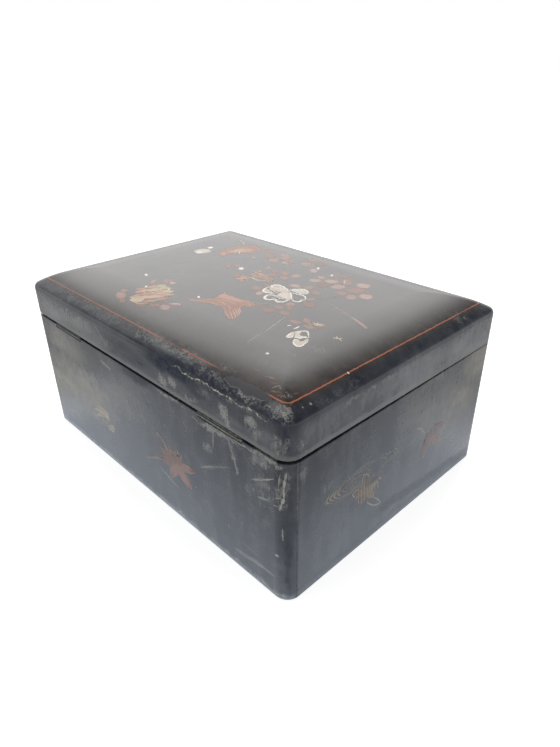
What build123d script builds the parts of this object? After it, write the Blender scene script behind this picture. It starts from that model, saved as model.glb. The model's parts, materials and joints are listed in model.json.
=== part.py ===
from build123d import *
import math
import os

# Lacquer box with a hinged lid.
# Millimetres. Origin at the middle of the underside, +Z up.
# The hinges are on the +Y side and the lock is in the wall on the -Y side.

# Body of the box
box_length = 280.0
box_depth = 204.2
body_height = 97.3
wall_thickness = 7.5
corner_radius = 9.5
base_edge_radius = 1.6
rim_edge_radius = 0.5

# Bottom board, let into a rebate round the foot of the walls
bottom_thickness = 6.0
bottom_rebate = 3.5
bottom_clearance = 0.1

# Lid: upright sides, a tight shoulder, then a long arc up to the flat crown
lid_side_top = 118.4
shoulder_radius = 3.9
shoulder_slope = 34.3
crown_arc_radius = 68.7
mitre_radius = 9.0
gap_back = 1.87
gap_front = 0.35
top_board_edge = 0.4
tongue_depth = 2.0
tongue_clearance = 0.1

# Wooden pegs in the corners
peg_radius = 1.25
peg_inset = 2.7
peg_cover = 3.5
peg_length_in_end = 14.0
peg_edge_distance = 20.0
peg_clearance = 0.05

# Butt hinges, each set in from its end of the box
hinge_end_distance = 54.0
hinge_length = 35.0
knuckle_count = 5
barrel_radius = 2.0
barrel_setback = 1.5
leaf_thickness = 1.0
leaf_width = 5.5
leaf_step = 0.1
leaf_end_clearance = 0.15
knuckle_gap = 0.15
knuckle_clearance = 0.15
pin_radius = 0.9
pin_clearance = 0.06
pin_head_radius = 1.6
pin_head_length = 2.6
hinge_screw_spacing = 12.0
hinge_screw_inset = 2.1

# Countersunk screws
screw_head_radius = 1.35
screw_core_radius = 0.75
screw_length = 7.0
screw_slot_width = 0.4
screw_slot_depth = 0.35
screw_clearance = 0.05

# Lock let into the front wall
lock_length = 30.0
lock_depth = 5.4
lock_height = 17.0
lock_sheet = 0.8
lock_flange = 4.2
lock_fit = 0.1
selvedge_thickness = 1.2
key_post_radius = 0.8
key_post_drop = 10.8
keyhole_radius = 1.7
keyhole_slot_width = 1.5
keyhole_slot_drop = 3.6
lock_screw_length = 5.0
lock_screw_drop = 5.0

# Sliding bolt of the lock
bolt_travel = 4.0
bolt_thickness = 1.4
bolt_height = 3.2
bolt_clearance = 0.3
bolt_slide_clearance = 0.06
bolt_block_length = 7.0
bolt_standoff = 0.7
bolt_tail_width = 6.0
bolt_tail_drop = 3.5
talon_radius = 1.4
guide_rib_height = 1.0

# Link on the lid that the bolt passes through
link_offset = 9.0
link_thickness = 1.6
link_width = 3.0
link_bar = 1.0
link_clearance = 0.4
link_plate_length = 26.0
link_plate_thickness = 1.0
link_screw_spacing = 19.0

# Places worked out from the sizes above
half_length = box_length / 2
half_depth = box_depth / 2
inner_x = half_length - wall_thickness
inner_y = half_depth - wall_thickness
lid_joint_z = lid_side_top - top_board_edge
lid_back_z = body_height + gap_back
lid_front_z = body_height + gap_front
leaf_reach = barrel_radius + leaf_step
pin_y = half_depth - barrel_setback
pin_z = lid_back_z - leaf_reach
hinge_seat_z = pin_z - leaf_reach
slope_angle = math.radians(shoulder_slope)
shoulder_inset = shoulder_radius * (1 - math.sin(slope_angle))
crown_inset = shoulder_inset + crown_arc_radius * math.sin(slope_angle)
arc_middle_z = lid_side_top + (shoulder_radius - crown_arc_radius) * math.cos(slope_angle)
crown_z = arc_middle_z + crown_arc_radius
knuckle_pitch = hinge_length / knuckle_count
bolt_top_z = body_height - selvedge_thickness - bolt_clearance
bolt_bottom_z = bolt_top_z - bolt_height
key_post_z = body_height - key_post_drop
lock_middle_y = -inner_y - lock_depth / 2
bolt_tip_x = link_offset - link_thickness / 2 - bolt_standoff
talon_x = -bolt_travel / 2
bolt_block_end = talon_x - bolt_tail_width / 2
lock_half_plate = lock_length / 2 + lock_flange


# A block given by its low and high corners
def block(x0, x1, y0, y1, z0, z1):
    size = Box(x1 - x0, y1 - y0, z1 - z0)
    return Pos((x0 + x1) / 2, (y0 + y1) / 2, (z0 + z1) / 2) * size


# A round bar along the length of the box
def long_bar(x0, x1, y, z, radius):
    return Pos((x0 + x1) / 2, y, z) * Rot(0, 90, 0) * Cylinder(radius, x1 - x0)


# A round bar along the depth of the box
def deep_bar(x, y0, y1, z, radius):
    return Pos(x, (y0 + y1) / 2, z) * Rot(90, 0, 0) * Cylinder(radius, y1 - y0)


# The outline of the box at one height
def outline(z):
    return Pos(0, 0, z) * RectangleRounded(box_length, box_depth, corner_radius)


# Whether a point lies on the upright outside of the box
def on_outside(point):
    past_x = abs(point.X) - (half_length - corner_radius)
    past_y = abs(point.Y) - (half_depth - corner_radius)
    if past_x > 0 and past_y > 0:
        reach = math.hypot(past_x, past_y)
    else:
        reach = max(past_x, past_y)
    return abs(reach - corner_radius) < 0.01


# The body before its walls are parted, with its outer edges eased
def body_ring():
    ring = extrude(outline(0), body_height)
    ring = fillet(ring.edges().group_by(Axis.Z)[0], base_edge_radius)
    ring = fillet(ring.edges().group_by(Axis.Z)[-1], rim_edge_radius)
    ring -= block(-inner_x, inner_x, -inner_y, inner_y, -1, body_height + 1)
    rebate_x = inner_x + bottom_rebate
    rebate_y = inner_y + bottom_rebate
    ring -= block(-rebate_x, rebate_x, -rebate_y, rebate_y, -1, bottom_thickness)
    return ring


# The stretch of a ring that one wall or rail takes
def wall_slab(side, top):
    if side == "front":
        return block(-half_length - 1, half_length + 1, -half_depth - 1, -inner_y, -1, top)
    if side == "back":
        return block(-half_length - 1, half_length + 1, inner_y, half_depth + 1, -1, top)
    if side == "left":
        return block(-half_length - 1, -inner_x, -inner_y, inner_y, -1, top)
    return block(inner_x, half_length + 1, -inner_y, inner_y, -1, top)


# Where a corner peg lies: its ends along the depth, shortened or lengthened by extra
def corner_peg(x_side, y_side, z, radius, extra):
    x = x_side * (inner_x + peg_inset)
    inner_end = y_side * (inner_y - peg_length_in_end - extra)
    outer_end = y_side * (inner_y + wall_thickness - peg_cover + extra)
    return deep_bar(x, min(inner_end, outer_end), max(inner_end, outer_end), z, radius)


# The heights of the pegs in a corner of the body and of the lid
def peg_heights(body):
    if body == "box":
        return [peg_edge_distance, body_height - peg_edge_distance]
    return [(lid_back_z + lid_joint_z) / 2]


# The holes of all pegs of the body or of the lid
def peg_holes(body):
    holes = []
    for x_side in (-1, 1):
        for y_side in (-1, 1):
            for z in peg_heights(body):
                hole = corner_peg(x_side, y_side, z, peg_radius + peg_clearance, peg_clearance)
                holes.append(hole)
    return holes


# The middle of a hinge along the box, left at -1 and right at 1
def hinge_x(side):
    return side * (half_length - hinge_end_distance)


# The places of the screws of one leaf
def hinge_screw_places(side):
    y = pin_y - leaf_width + hinge_screw_inset
    return [(hinge_x(side) + step * hinge_screw_spacing, y) for step in (-1, 0, 1)]


# The recess for a hinge in the top of the back wall, open to the back
def hinge_recess(side):
    near = hinge_x(side) - side * (hinge_length / 2 + leaf_end_clearance)
    far = hinge_x(side) + side * (hinge_length / 2 + pin_head_length + 2 * leaf_end_clearance)
    inner = pin_y - leaf_width - leaf_end_clearance
    return block(min(near, far), max(near, far), inner, half_depth + 1, hinge_seat_z, body_height + 1)


# The stretches of the barrel that belong to the box leaf or to the lid leaf
def knuckle_stretches(side, body):
    start = hinge_x(side) - hinge_length / 2
    first = 0 if body == "box" else 1
    stretches = []
    for index in range(first, knuckle_count, 2):
        low = start + index * knuckle_pitch
        high = low + knuckle_pitch
        if index > 0:
            low += knuckle_gap / 2
        if index < knuckle_count - 1:
            high -= knuckle_gap / 2
        stretches.append((low, high))
    return stretches


# A hinge leaf: a flat plate with its share of the rolled knuckles
def hinge_leaf(side, body):
    other = "lid" if body == "box" else "box"
    middle = hinge_x(side)
    low_x = middle - hinge_length / 2
    high_x = middle + hinge_length / 2
    if body == "box":
        plate_z = hinge_seat_z
    else:
        plate_z = lid_back_z - leaf_thickness
    leaf = block(low_x, high_x, pin_y - leaf_width, pin_y, plate_z, plate_z + leaf_thickness)
    for x0, x1 in knuckle_stretches(side, other):
        room = knuckle_gap
        leaf -= long_bar(x0 - room, x1 + room, pin_y, pin_z, barrel_radius + knuckle_clearance)
        leaf -= block(x0 - room, x1 + room, pin_y - 0.1, pin_y + 1, plate_z - 1, plate_z + 2)
    for x0, x1 in knuckle_stretches(side, body):
        leaf += long_bar(x0, x1, pin_y, pin_z, barrel_radius)
    leaf -= long_bar(low_x - 1, high_x + 1, pin_y, pin_z, pin_radius + pin_clearance)
    for x, y in hinge_screw_places(side):
        if body == "box":
            leaf -= screw_room(x, y, plate_z + leaf_thickness, -1)
        else:
            leaf -= screw_room(x, y, plate_z, 1)
    return leaf


# A hinge pin with a turned head at its outer end
def hinge_pin(side):
    middle = hinge_x(side)
    inner_end = middle - side * hinge_length / 2
    outer_end = middle + side * hinge_length / 2
    head_end = outer_end + side * pin_head_length
    pin = long_bar(min(inner_end, outer_end), max(inner_end, outer_end), pin_y, pin_z, pin_radius)
    head_low = min(outer_end, head_end)
    head = long_bar(head_low, head_low + pin_head_length, pin_y, pin_z, pin_head_radius)
    rim = head.edges().filter_by(GeomType.CIRCLE).sort_by(Axis.X)
    tip = rim[-1] if side > 0 else rim[0]
    head = fillet(tip, pin_head_radius * 0.6)
    return pin + head


# A countersunk screw whose head lies in the plane z and whose point goes up or down
def screw(x, y, z, way, length):
    head_depth = screw_head_radius - screw_core_radius
    profile = Polyline(
        (0, 0),
        (screw_head_radius, 0),
        (screw_core_radius, head_depth),
        (screw_core_radius, length - screw_core_radius),
        (0, length),
        close=True,
    )
    body = revolve(Plane.XZ * make_face(profile), Axis.Z)
    slot = block(
        -screw_head_radius,
        screw_head_radius,
        -screw_slot_width / 2,
        screw_slot_width / 2,
        -1,
        screw_slot_depth,
    )
    body -= slot
    if way < 0:
        body = Rot(180, 0, 0) * body
    return Pos(x, y, z) * body


# The room that a screw takes in what it goes through
def screw_room(x, y, z, way, length=screw_length):
    head = screw_head_radius + screw_clearance
    core = screw_core_radius + screw_clearance
    profile = Polyline(
        (0, -0.5),
        (head, -0.5),
        (head, 0),
        (core, head - core),
        (core, length + screw_clearance),
        (0, length + screw_clearance),
        close=True,
    )
    room = revolve(Plane.XZ * make_face(profile), Axis.Z)
    if way < 0:
        room = Rot(180, 0, 0) * room
    return Pos(x, y, z) * room


# The four lock screws: x and z on the inner face of the front wall
def lock_screw_places():
    x = lock_length / 2 + lock_flange / 2
    low = body_height - lock_height + lock_screw_drop / 2
    high = body_height - lock_screw_drop
    return [(-x, low), (x, low), (-x, high), (x, high)]


# Turns a screw or its room, made at the origin, to point into the front wall
def into_front_wall(shape, x, z):
    return Pos(x, -inner_y, z) * Rot(90, 0, 0) * shape


# The room for the lock in the front wall, with the keyhole
def lock_recess():
    low_z = body_height - lock_height - lock_fit
    half = lock_length / 2 + lock_fit
    plate = lock_half_plate + lock_fit
    depth = lock_depth + lock_fit
    top = body_height + 1
    room = block(-half, half, -inner_y - depth, -inner_y + 1, low_z, top)
    room += block(-plate, plate, -inner_y - lock_sheet, -inner_y + 1, low_z, top)
    selvedge_z = body_height - selvedge_thickness
    room += block(-plate, plate, -inner_y - depth, -inner_y + 1, selvedge_z, top)
    return room + keyhole(-half_depth - 1, -inner_y)


# A keyhole between two depths: a round eye over a straight slot
def keyhole(y0, y1):
    eye = deep_bar(0, y0, y1, key_post_z, keyhole_radius)
    half_slot = keyhole_slot_width / 2
    slot_z = key_post_z - keyhole_slot_drop
    return eye + block(-half_slot, half_slot, y0, y1, slot_z, key_post_z)


def front_wall():
    wall = body_ring() & wall_slab("front", body_height + 1)
    wall -= peg_holes("box")
    wall -= lock_recess()
    room = screw_room(0, 0, 0, 1, lock_screw_length)
    for x, z in lock_screw_places():
        wall -= into_front_wall(room, x, z)
    return wall


def back_wall():
    wall = body_ring() & wall_slab("back", body_height + 1)
    wall -= peg_holes("box")
    for side in (-1, 1):
        wall -= hinge_recess(side)
        for x, y in hinge_screw_places(side):
            wall -= screw_room(x, y, hinge_seat_z + leaf_thickness, -1)
    return wall


def end_wall(side):
    wall = body_ring() & wall_slab(side, body_height + 1)
    wall -= peg_holes("box")
    return wall


def bottom_board():
    x = inner_x + bottom_rebate - bottom_clearance
    y = inner_y + bottom_rebate - bottom_clearance
    return block(-x, x, -y, y, 0, bottom_thickness)


# A point on the long arc of the lid's top: its inset and its height at a slope
def crown_point(angle):
    inset = crown_inset - crown_arc_radius * math.sin(angle)
    return inset, arc_middle_z + crown_arc_radius * math.cos(angle)


# A vault as wide as the box one way: the long arc on both sides and the flat crown
def vault(plane, half_width, half_run):
    steep = math.asin((crown_inset + corner_radius / 2) / crown_arc_radius)
    foot_inset, foot_z = crown_point(steep)
    middle_inset, middle_z = crown_point(steep / 2)
    foot = half_width - foot_inset
    middle = half_width - middle_inset
    crown = half_width - crown_inset
    section = [
        ThreePointArc((-foot, foot_z), (-middle, middle_z), (-crown, crown_z)),
        Line((-crown, crown_z), (crown, crown_z)),
        ThreePointArc((crown, crown_z), (middle, middle_z), (foot, foot_z)),
        Polyline((foot, foot_z), (foot, foot_z - 1), (-foot, foot_z - 1), (-foot, foot_z)),
    ]
    return extrude(plane * make_face(Curve() + section), half_run + 1, both=True)


# The top board: two vaults crossing over the outline, softened along the mitres and
# the shoulder, with a tongue inside the rails
def lid_top():
    board = extrude(outline(lid_joint_z), crown_z - lid_joint_z)
    board = board & vault(Plane.YZ, half_depth, half_length)
    board = board & vault(Plane.XZ, half_length, half_depth)
    rise = crown_z - lid_side_top
    mitres = [edge for edge in board.edges() if abs((edge @ 0).Z - (edge @ 1).Z) > rise / 2]
    board = fillet(mitres, mitre_radius)
    board = fillet([edge for edge in board.edges() if is_shoulder(edge)], shoulder_radius)
    x = inner_x - tongue_clearance
    y = inner_y - tongue_clearance
    return board + block(-x, x, -y, y, lid_joint_z - tongue_depth, lid_joint_z)


# Whether an edge runs round the lid where its top meets its upright sides
def is_shoulder(edge):
    upright = math.hypot((edge @ 0).X - (edge @ 1).X, (edge @ 0).Y - (edge @ 1).Y) < 0.01
    return on_outside(edge @ 0.5) and (edge @ 0.5).Z > lid_side_top and not upright


# The lid's rim before its rails are parted; its ends slope from the back gap to the front gap
def rail_ring():
    ring = extrude(outline(lid_front_z), lid_joint_z - lid_front_z)
    ring -= block(-inner_x, inner_x, -inner_y, inner_y, 0, lid_joint_z + 1)
    side = Polyline(
        (-half_depth - 1, 0),
        (-half_depth - 1, lid_front_z),
        (-inner_y, lid_front_z),
        (inner_y, lid_back_z),
        (half_depth + 1, lid_back_z),
        (half_depth + 1, 0),
        close=True,
    )
    below = extrude(Plane.YZ * make_face(side), half_length + 1, both=True)
    ring -= below
    lower = [edge for edge in ring.edges() if is_lower_rail_edge(edge)]
    return fillet(lower, rim_edge_radius)


# Whether an edge runs round the outside of the lid at its foot
def is_lower_rail_edge(edge):
    upright = math.hypot((edge @ 0).X - (edge @ 1).X, (edge @ 0).Y - (edge @ 1).Y) < 0.01
    return on_outside(edge @ 0.5) and (edge @ 0.5).Z < lid_back_z + 0.01 and not upright


def lid_front_rail():
    rail = rail_ring() & wall_slab("front", lid_joint_z)
    rail -= peg_holes("lid")
    plate_x = link_plate_length / 2 + lock_fit
    rail -= block(
        link_offset - plate_x,
        link_offset + plate_x,
        -inner_y - lock_depth - lock_fit,
        -inner_y + 1,
        lid_front_z - 1,
        lid_front_z + link_plate_thickness,
    )
    for x in link_screw_places():
        rail -= screw_room(x, lock_middle_y, lid_front_z, 1)
    return rail


def lid_back_rail():
    rail = rail_ring() & wall_slab("back", lid_joint_z)
    rail -= peg_holes("lid")
    for side in (-1, 1):
        for x, y in hinge_screw_places(side):
            rail -= screw_room(x, y, lid_back_z - leaf_thickness, 1)
    return rail


def lid_end_rail(side):
    rail = rail_ring() & wall_slab(side, lid_joint_z)
    rail -= peg_holes("lid")
    return rail


# The lock case: face plate, top edge plate, sides, guide rib and the post for the key
def lock_case():
    low_z = body_height - lock_height
    under_top = body_height - selvedge_thickness
    half = lock_length / 2
    cap_y = -inner_y - lock_depth + lock_sheet
    case = block(-lock_half_plate, lock_half_plate, -inner_y - lock_sheet, -inner_y, low_z, body_height)
    case += block(
        -lock_half_plate,
        lock_half_plate,
        -inner_y - lock_depth,
        -inner_y,
        under_top,
        body_height,
    )
    case += block(-half, half, cap_y, -inner_y, low_z, low_z + lock_sheet)
    case += block(-half, -half + lock_sheet, cap_y, -inner_y, low_z, body_height)
    case += block(half - lock_sheet, half, cap_y, -inner_y, low_z, body_height)
    rib_top = bolt_bottom_z - bolt_slide_clearance
    rib_end = bolt_block_end - bolt_clearance
    case += block(-half, rib_end, cap_y, -inner_y, rib_top - guide_rib_height, rib_top)
    case += deep_bar(0, cap_y + bolt_clearance, -inner_y, key_post_z, key_post_radius)
    slot_x = link_thickness / 2 + link_clearance
    slot_y = link_width / 2 + link_clearance
    case -= block(
        link_offset - slot_x,
        link_offset + slot_x,
        lock_middle_y - slot_y,
        lock_middle_y + slot_y,
        under_top - 1,
        body_height + 1,
    )
    room = screw_room(0, 0, 0, 1, lock_screw_length)
    for x, z in lock_screw_places():
        case -= into_front_wall(room, x, z)
    return case


# The plate that closes the lock case against the wood, with the keyhole
def lock_cap():
    low_z = body_height - lock_height
    outer_y = -inner_y - lock_depth
    inner = outer_y + lock_sheet
    half = lock_length / 2
    cap = block(-half, half, outer_y, inner, low_z, body_height - selvedge_thickness)
    return cap - keyhole(outer_y - 1, inner + 1)


# The sliding bolt, drawn back: a guided block, a thin tip and a tail with a notch for the key
def lock_bolt():
    half_block = (lock_depth - 2 * lock_sheet) / 2 - bolt_slide_clearance
    half_tip = bolt_thickness / 2
    start = bolt_block_end - bolt_block_length
    bolt = block(
        start,
        bolt_block_end,
        lock_middle_y - half_block,
        lock_middle_y + half_block,
        bolt_bottom_z,
        bolt_top_z,
    )
    bolt += block(
        bolt_block_end,
        bolt_tip_x,
        lock_middle_y - half_tip,
        lock_middle_y + half_tip,
        bolt_bottom_z,
        bolt_top_z,
    )
    tail_half = bolt_tail_width / 2
    bolt += block(
        talon_x - tail_half,
        talon_x + tail_half,
        lock_middle_y - half_tip,
        lock_middle_y + half_tip,
        bolt_bottom_z - bolt_tail_drop,
        bolt_bottom_z,
    )
    notch_z = bolt_bottom_z - bolt_tail_drop
    bolt -= deep_bar(talon_x, lock_middle_y - 2, lock_middle_y + 2, notch_z, talon_radius)
    return bolt


# The places of the two screws of the link plate, along the box
def link_screw_places():
    return [link_offset - link_screw_spacing / 2, link_offset + link_screw_spacing / 2]


# The link plate under the lid's front rail, with the link that hangs into the lock
def lock_link_plate():
    plate_x = link_plate_length / 2
    plate = block(
        link_offset - plate_x,
        link_offset + plate_x,
        -inner_y - lock_depth,
        -inner_y,
        lid_front_z,
        lid_front_z + link_plate_thickness,
    )
    eye_low = bolt_bottom_z - link_clearance
    eye_high = bolt_top_z + link_clearance
    half_x = link_thickness / 2
    half_y = link_width / 2
    plate += block(
        link_offset - half_x,
        link_offset + half_x,
        lock_middle_y - half_y,
        lock_middle_y + half_y,
        eye_low - link_bar,
        lid_front_z,
    )
    half_eye = bolt_thickness / 2 + bolt_clearance
    plate -= block(
        link_offset - 2,
        link_offset + 2,
        lock_middle_y - half_eye,
        lock_middle_y + half_eye,
        eye_low,
        eye_high,
    )
    for x in link_screw_places():
        plate -= screw_room(x, lock_middle_y, lid_front_z, 1)
    return plate


# Collects every piece of the box under its own name
def all_parts():
    parts = {
        "bottom_board": bottom_board(),
        "front_wall": front_wall(),
        "back_wall": back_wall(),
        "left_end_wall": end_wall("left"),
        "right_end_wall": end_wall("right"),
        "lid_top": lid_top(),
        "lid_front_rail": lid_front_rail(),
        "lid_back_rail": lid_back_rail(),
        "lid_left_rail": lid_end_rail("left"),
        "lid_right_rail": lid_end_rail("right"),
        "lock_case": lock_case(),
        "lock_cap": lock_cap(),
        "lock_bolt": lock_bolt(),
        "lock_link_plate": lock_link_plate(),
    }
    add_hinges(parts)
    add_lock_screws(parts)
    add_pegs(parts)
    return parts


# The two hinges: leaves, pins and screws
def add_hinges(parts):
    for name, side in (("left", -1), ("right", 1)):
        parts[f"{name}_hinge_box_leaf"] = hinge_leaf(side, "box")
        parts[f"{name}_hinge_lid_leaf"] = hinge_leaf(side, "lid")
        parts[f"{name}_hinge_pin"] = hinge_pin(side)
        for number, (x, y) in enumerate(hinge_screw_places(side), start=1):
            box_face = hinge_seat_z + leaf_thickness
            lid_face = lid_back_z - leaf_thickness
            parts[f"{name}_hinge_box_screw_{number}"] = screw(x, y, box_face, -1, screw_length)
            parts[f"{name}_hinge_lid_screw_{number}"] = screw(x, y, lid_face, 1, screw_length)


# The screws of the lock case and of the link plate
def add_lock_screws(parts):
    made = screw(0, 0, 0, 1, lock_screw_length)
    for number, (x, z) in enumerate(lock_screw_places(), start=1):
        parts[f"lock_case_screw_{number}"] = into_front_wall(made, x, z)
    for number, x in enumerate(link_screw_places(), start=1):
        parts[f"lock_link_screw_{number}"] = screw(x, lock_middle_y, lid_front_z, 1, screw_length)


# The wooden pegs in the corners of the body and of the lid
def add_pegs(parts):
    for x_name, x_side in (("left", -1), ("right", 1)):
        for y_name, y_side in (("front", -1), ("back", 1)):
            low, high = peg_heights("box")
            corner = f"{y_name}_{x_name}"
            parts[f"{corner}_lower_peg"] = corner_peg(x_side, y_side, low, peg_radius, 0)
            parts[f"{corner}_upper_peg"] = corner_peg(x_side, y_side, high, peg_radius, 0)
            lid_height = peg_heights("lid")[0]
            parts[f"lid_{corner}_peg"] = corner_peg(x_side, y_side, lid_height, peg_radius, 0)


os.makedirs("parts", exist_ok=True)
for part_name, part in all_parts().items():
    part.label = part_name
    export_step(part, f"parts/{part_name}.step")
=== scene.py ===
"""Dresses the packed lacquer box: worn black lacquer, painted birds and flowers, maple leaves and aged brass.

Lengths in the tables and in the materials are millimetres, and the finished meshes are in metres.
"""

import functools
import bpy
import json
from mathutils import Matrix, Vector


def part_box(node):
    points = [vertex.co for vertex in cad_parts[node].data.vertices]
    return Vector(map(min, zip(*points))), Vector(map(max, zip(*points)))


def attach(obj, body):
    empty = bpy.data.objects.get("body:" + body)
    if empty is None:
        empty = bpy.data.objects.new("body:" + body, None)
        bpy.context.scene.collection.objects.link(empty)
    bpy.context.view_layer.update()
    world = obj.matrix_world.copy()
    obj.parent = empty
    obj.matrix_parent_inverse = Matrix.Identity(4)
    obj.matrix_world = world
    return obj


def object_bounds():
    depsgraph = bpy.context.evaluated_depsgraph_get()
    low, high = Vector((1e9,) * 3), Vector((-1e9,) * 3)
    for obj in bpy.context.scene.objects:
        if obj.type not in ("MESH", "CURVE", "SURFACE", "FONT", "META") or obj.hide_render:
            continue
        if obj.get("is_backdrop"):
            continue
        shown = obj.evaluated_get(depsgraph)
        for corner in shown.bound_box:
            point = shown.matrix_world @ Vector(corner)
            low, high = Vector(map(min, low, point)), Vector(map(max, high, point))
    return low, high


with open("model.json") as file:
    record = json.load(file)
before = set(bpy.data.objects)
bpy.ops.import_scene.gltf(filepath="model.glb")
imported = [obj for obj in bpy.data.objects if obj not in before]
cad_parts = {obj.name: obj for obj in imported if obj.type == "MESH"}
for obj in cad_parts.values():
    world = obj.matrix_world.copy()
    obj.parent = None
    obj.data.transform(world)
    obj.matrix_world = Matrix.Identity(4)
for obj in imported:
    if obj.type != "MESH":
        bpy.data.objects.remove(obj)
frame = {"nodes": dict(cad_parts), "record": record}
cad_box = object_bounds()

import inspect
import json
import math
import random

import bmesh
import bpy
from bpy.props import FloatProperty, FloatVectorProperty, IntProperty, PointerProperty
from mathutils import Matrix, Vector
from mathutils.bvhtree import BVHTree

bl_info = {
    "name": "Lacquer Box",
    "version": (1, 0, 0),
    "blender": (4, 5, 0),
    "location": "3D View > Sidebar > Lacquer Box",
    "description": "Worn black lacquer, painted ornament and aged brass for a box with a hinged lid",
    "category": "Object",
}

MM = 0.001
HALF_LENGTH = -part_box("lid_left_rail")[0][0] / MM
HALF_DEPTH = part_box("lid_back_rail")[1][1] / MM
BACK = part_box("back_wall")[1][1] / MM
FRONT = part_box("front_wall")[0][1] / MM
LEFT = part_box("left_end_wall")[0][0] / MM
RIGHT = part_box("right_end_wall")[1][0] / MM
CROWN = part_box("lid_top")[1][2] / MM
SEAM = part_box("left_end_wall")[1][1] / MM
CORNER = 9.5  # radius of the upright corners
SHOULDER = 118.4  # height at which the crown begins


# Settings that a user would change


def color_setting(name, description, default):
    return FloatVectorProperty(
        name=name, description=description, subtype="COLOR", size=3, min=0, max=1, default=default)


def length_setting(name, description, least, most, default):
    return FloatProperty(
        name=name, description=description, subtype="DISTANCE", unit="LENGTH", min=least, max=most,
        default=default)


def share_setting(name, description, default):
    return FloatProperty(name=name, description=description, subtype="FACTOR", min=0, max=1, default=default)


class LacquerFinish(bpy.types.PropertyGroup):
    """Colours and wear of the lacquer"""

    wall_color: color_setting("Wall Colour", "Lacquer on the upright sides", (0.015, 0.019, 0.029))
    crown_color: color_setting("Crown Colour", "Lacquer on top of the lid", (0.026, 0.019, 0.016))
    inside_color: color_setting("Inside Colour", "Lacquer inside the box", (0.012, 0.011, 0.011))
    line_color: color_setting("Border Colour", "Thin painted line round the lid", (0.38, 0.11, 0.05))
    dust_color: color_setting("Dust Colour", "Dust and rubbed lacquer", (0.36, 0.355, 0.32))
    line_width: length_setting("Border Width", "Width of the painted line", 0.0002, 0.003, 0.0006)
    line_inset: length_setting(
        "Border Inset", "From the lid's outline to the painted line", 0.002, 0.03, 0.0093)
    gloss: share_setting("Roughness", "Roughness of clean lacquer", 0.20)
    # Wear also sets how strong the painted navy shade is
    wear: share_setting("Wear", "How much dust and rubbing shows", 1.0)


class OrnamentPaint(bpy.types.PropertyGroup):
    """Colours and thickness of the painted ornament"""

    rust_color: color_setting("Rust Colour", "Dusky leaves", (0.25, 0.135, 0.105))
    orange_color: color_setting(
        "Orange Colour", "Warmer paint of the birds and the full flowers", (0.35, 0.16, 0.10))
    white_color: color_setting("White Colour", "White and cream petals", (0.74, 0.71, 0.63))
    gold_color: color_setting("Gold Colour", "Gold dabs on the lid", (0.40, 0.32, 0.19))
    thickness: length_setting(
        "Paint Thickness", "How far the paint stands above the lacquer", 0.00002, 0.0005, 0.00006)
    seed: IntProperty(name="Seed", description="Changes the small differences between dabs", default=7)


class BrassFinish(bpy.types.PropertyGroup):
    """Colour and dust of the brass"""

    brass_color: color_setting("Brass Colour", "Clean places of the brass", (0.40, 0.31, 0.17))
    barrel_dust: color_setting(
        "Barrel Dust Colour", "Grey dust on the outside of the hinges", (0.19, 0.19, 0.17))
    dust_amount: share_setting("Dust", "How much of the hinge barrels is dusty", 0.6)


class StudioLight(bpy.types.PropertyGroup):
    """Floor, lights and camera"""

    floor_color: color_setting("Floor Colour", "Plain pale floor", (0.70, 0.70, 0.70))
    key_strength: FloatProperty(
        name="Overhead Light", description="Strength of the soft light from above", min=0, default=1.3)
    lens: FloatProperty(
        name="Lens", description="Focal length of the camera", subtype="DISTANCE_CAMERA", min=5, max=200,
        default=27.46)


# Building shader nodes


class Value:
    """A shader socket that plain arithmetic works on; each step is a math node"""

    def __init__(self, socket):
        self.socket = socket

    def __add__(self, other):
        return calculated("ADD", self, other)

    def __sub__(self, other):
        return calculated("SUBTRACT", self, other)

    def __rsub__(self, other):
        return calculated("SUBTRACT", other, self)

    def __mul__(self, other):
        return calculated("MULTIPLY", self, other)

    def __truediv__(self, other):
        return calculated("DIVIDE", self, other)

    def __rtruediv__(self, other):
        return calculated("DIVIDE", other, self)

    def __pow__(self, other):
        return calculated("POWER", self, other)

    def __abs__(self):
        return calculated("ABSOLUTE", self)


def add(kind, inputs, tree=None, **settings):
    """A node with its settings and inputs, in the tree of its first value unless a tree is given"""
    tree = tree or next(value.socket.id_data for value in inputs.values() if isinstance(value, Value))
    node = tree.nodes.new(kind)
    for name, value in settings.items():
        setattr(node, name, value)
    for name, value in inputs.items():
        plug(node.inputs[name], value)
    return node


def plug(socket, value):
    """Gives an input a plain value, or links it to another node's output"""
    if isinstance(value, Value):
        socket.id_data.links.new(value.socket, socket)
    else:
        socket.default_value = value


def is_number(value):
    return isinstance(value, (int, float)) or isinstance(value, Value) and value.socket.type == "VALUE"


def calculated(operation, *values):
    """A math node for numbers, or a vector math node where a value is a vector or a colour"""
    if all(is_number(value) for value in values):
        return Value(add("ShaderNodeMath", dict(enumerate(values)), operation=operation).outputs[0])
    if operation == "MULTIPLY" and is_number(values[1]):
        scaled = add("ShaderNodeVectorMath", {0: values[0], "Scale": values[1]}, operation="SCALE")
        return Value(scaled.outputs["Vector"])
    triples = [(value,) * 3 if isinstance(value, (int, float)) else value for value in values]
    node = add("ShaderNodeVectorMath", dict(enumerate(triples)), operation=operation)
    return Value(node.outputs["Value" if operation in ("LENGTH", "DOT_PRODUCT") else "Vector"])


def larger(first, second):
    return calculated("MAXIMUM", first, second)


def smaller(first, second):
    return calculated("MINIMUM", first, second)


def fade(value, zero_at, one_at):
    """A soft step from 0 to 1 between two values"""
    sockets = {"Value": value, "From Min": zero_at, "From Max": one_at, "To Min": 0.0, "To Max": 1.0}
    return Value(add("ShaderNodeMapRange", sockets, interpolation_type="SMOOTHSTEP").outputs[0])


def mixed(factor, first, second):
    """One colour laid over another"""
    return Value(add("ShaderNodeMix", {0: factor, 6: first, 7: second}, data_type="RGBA").outputs[2])


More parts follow.
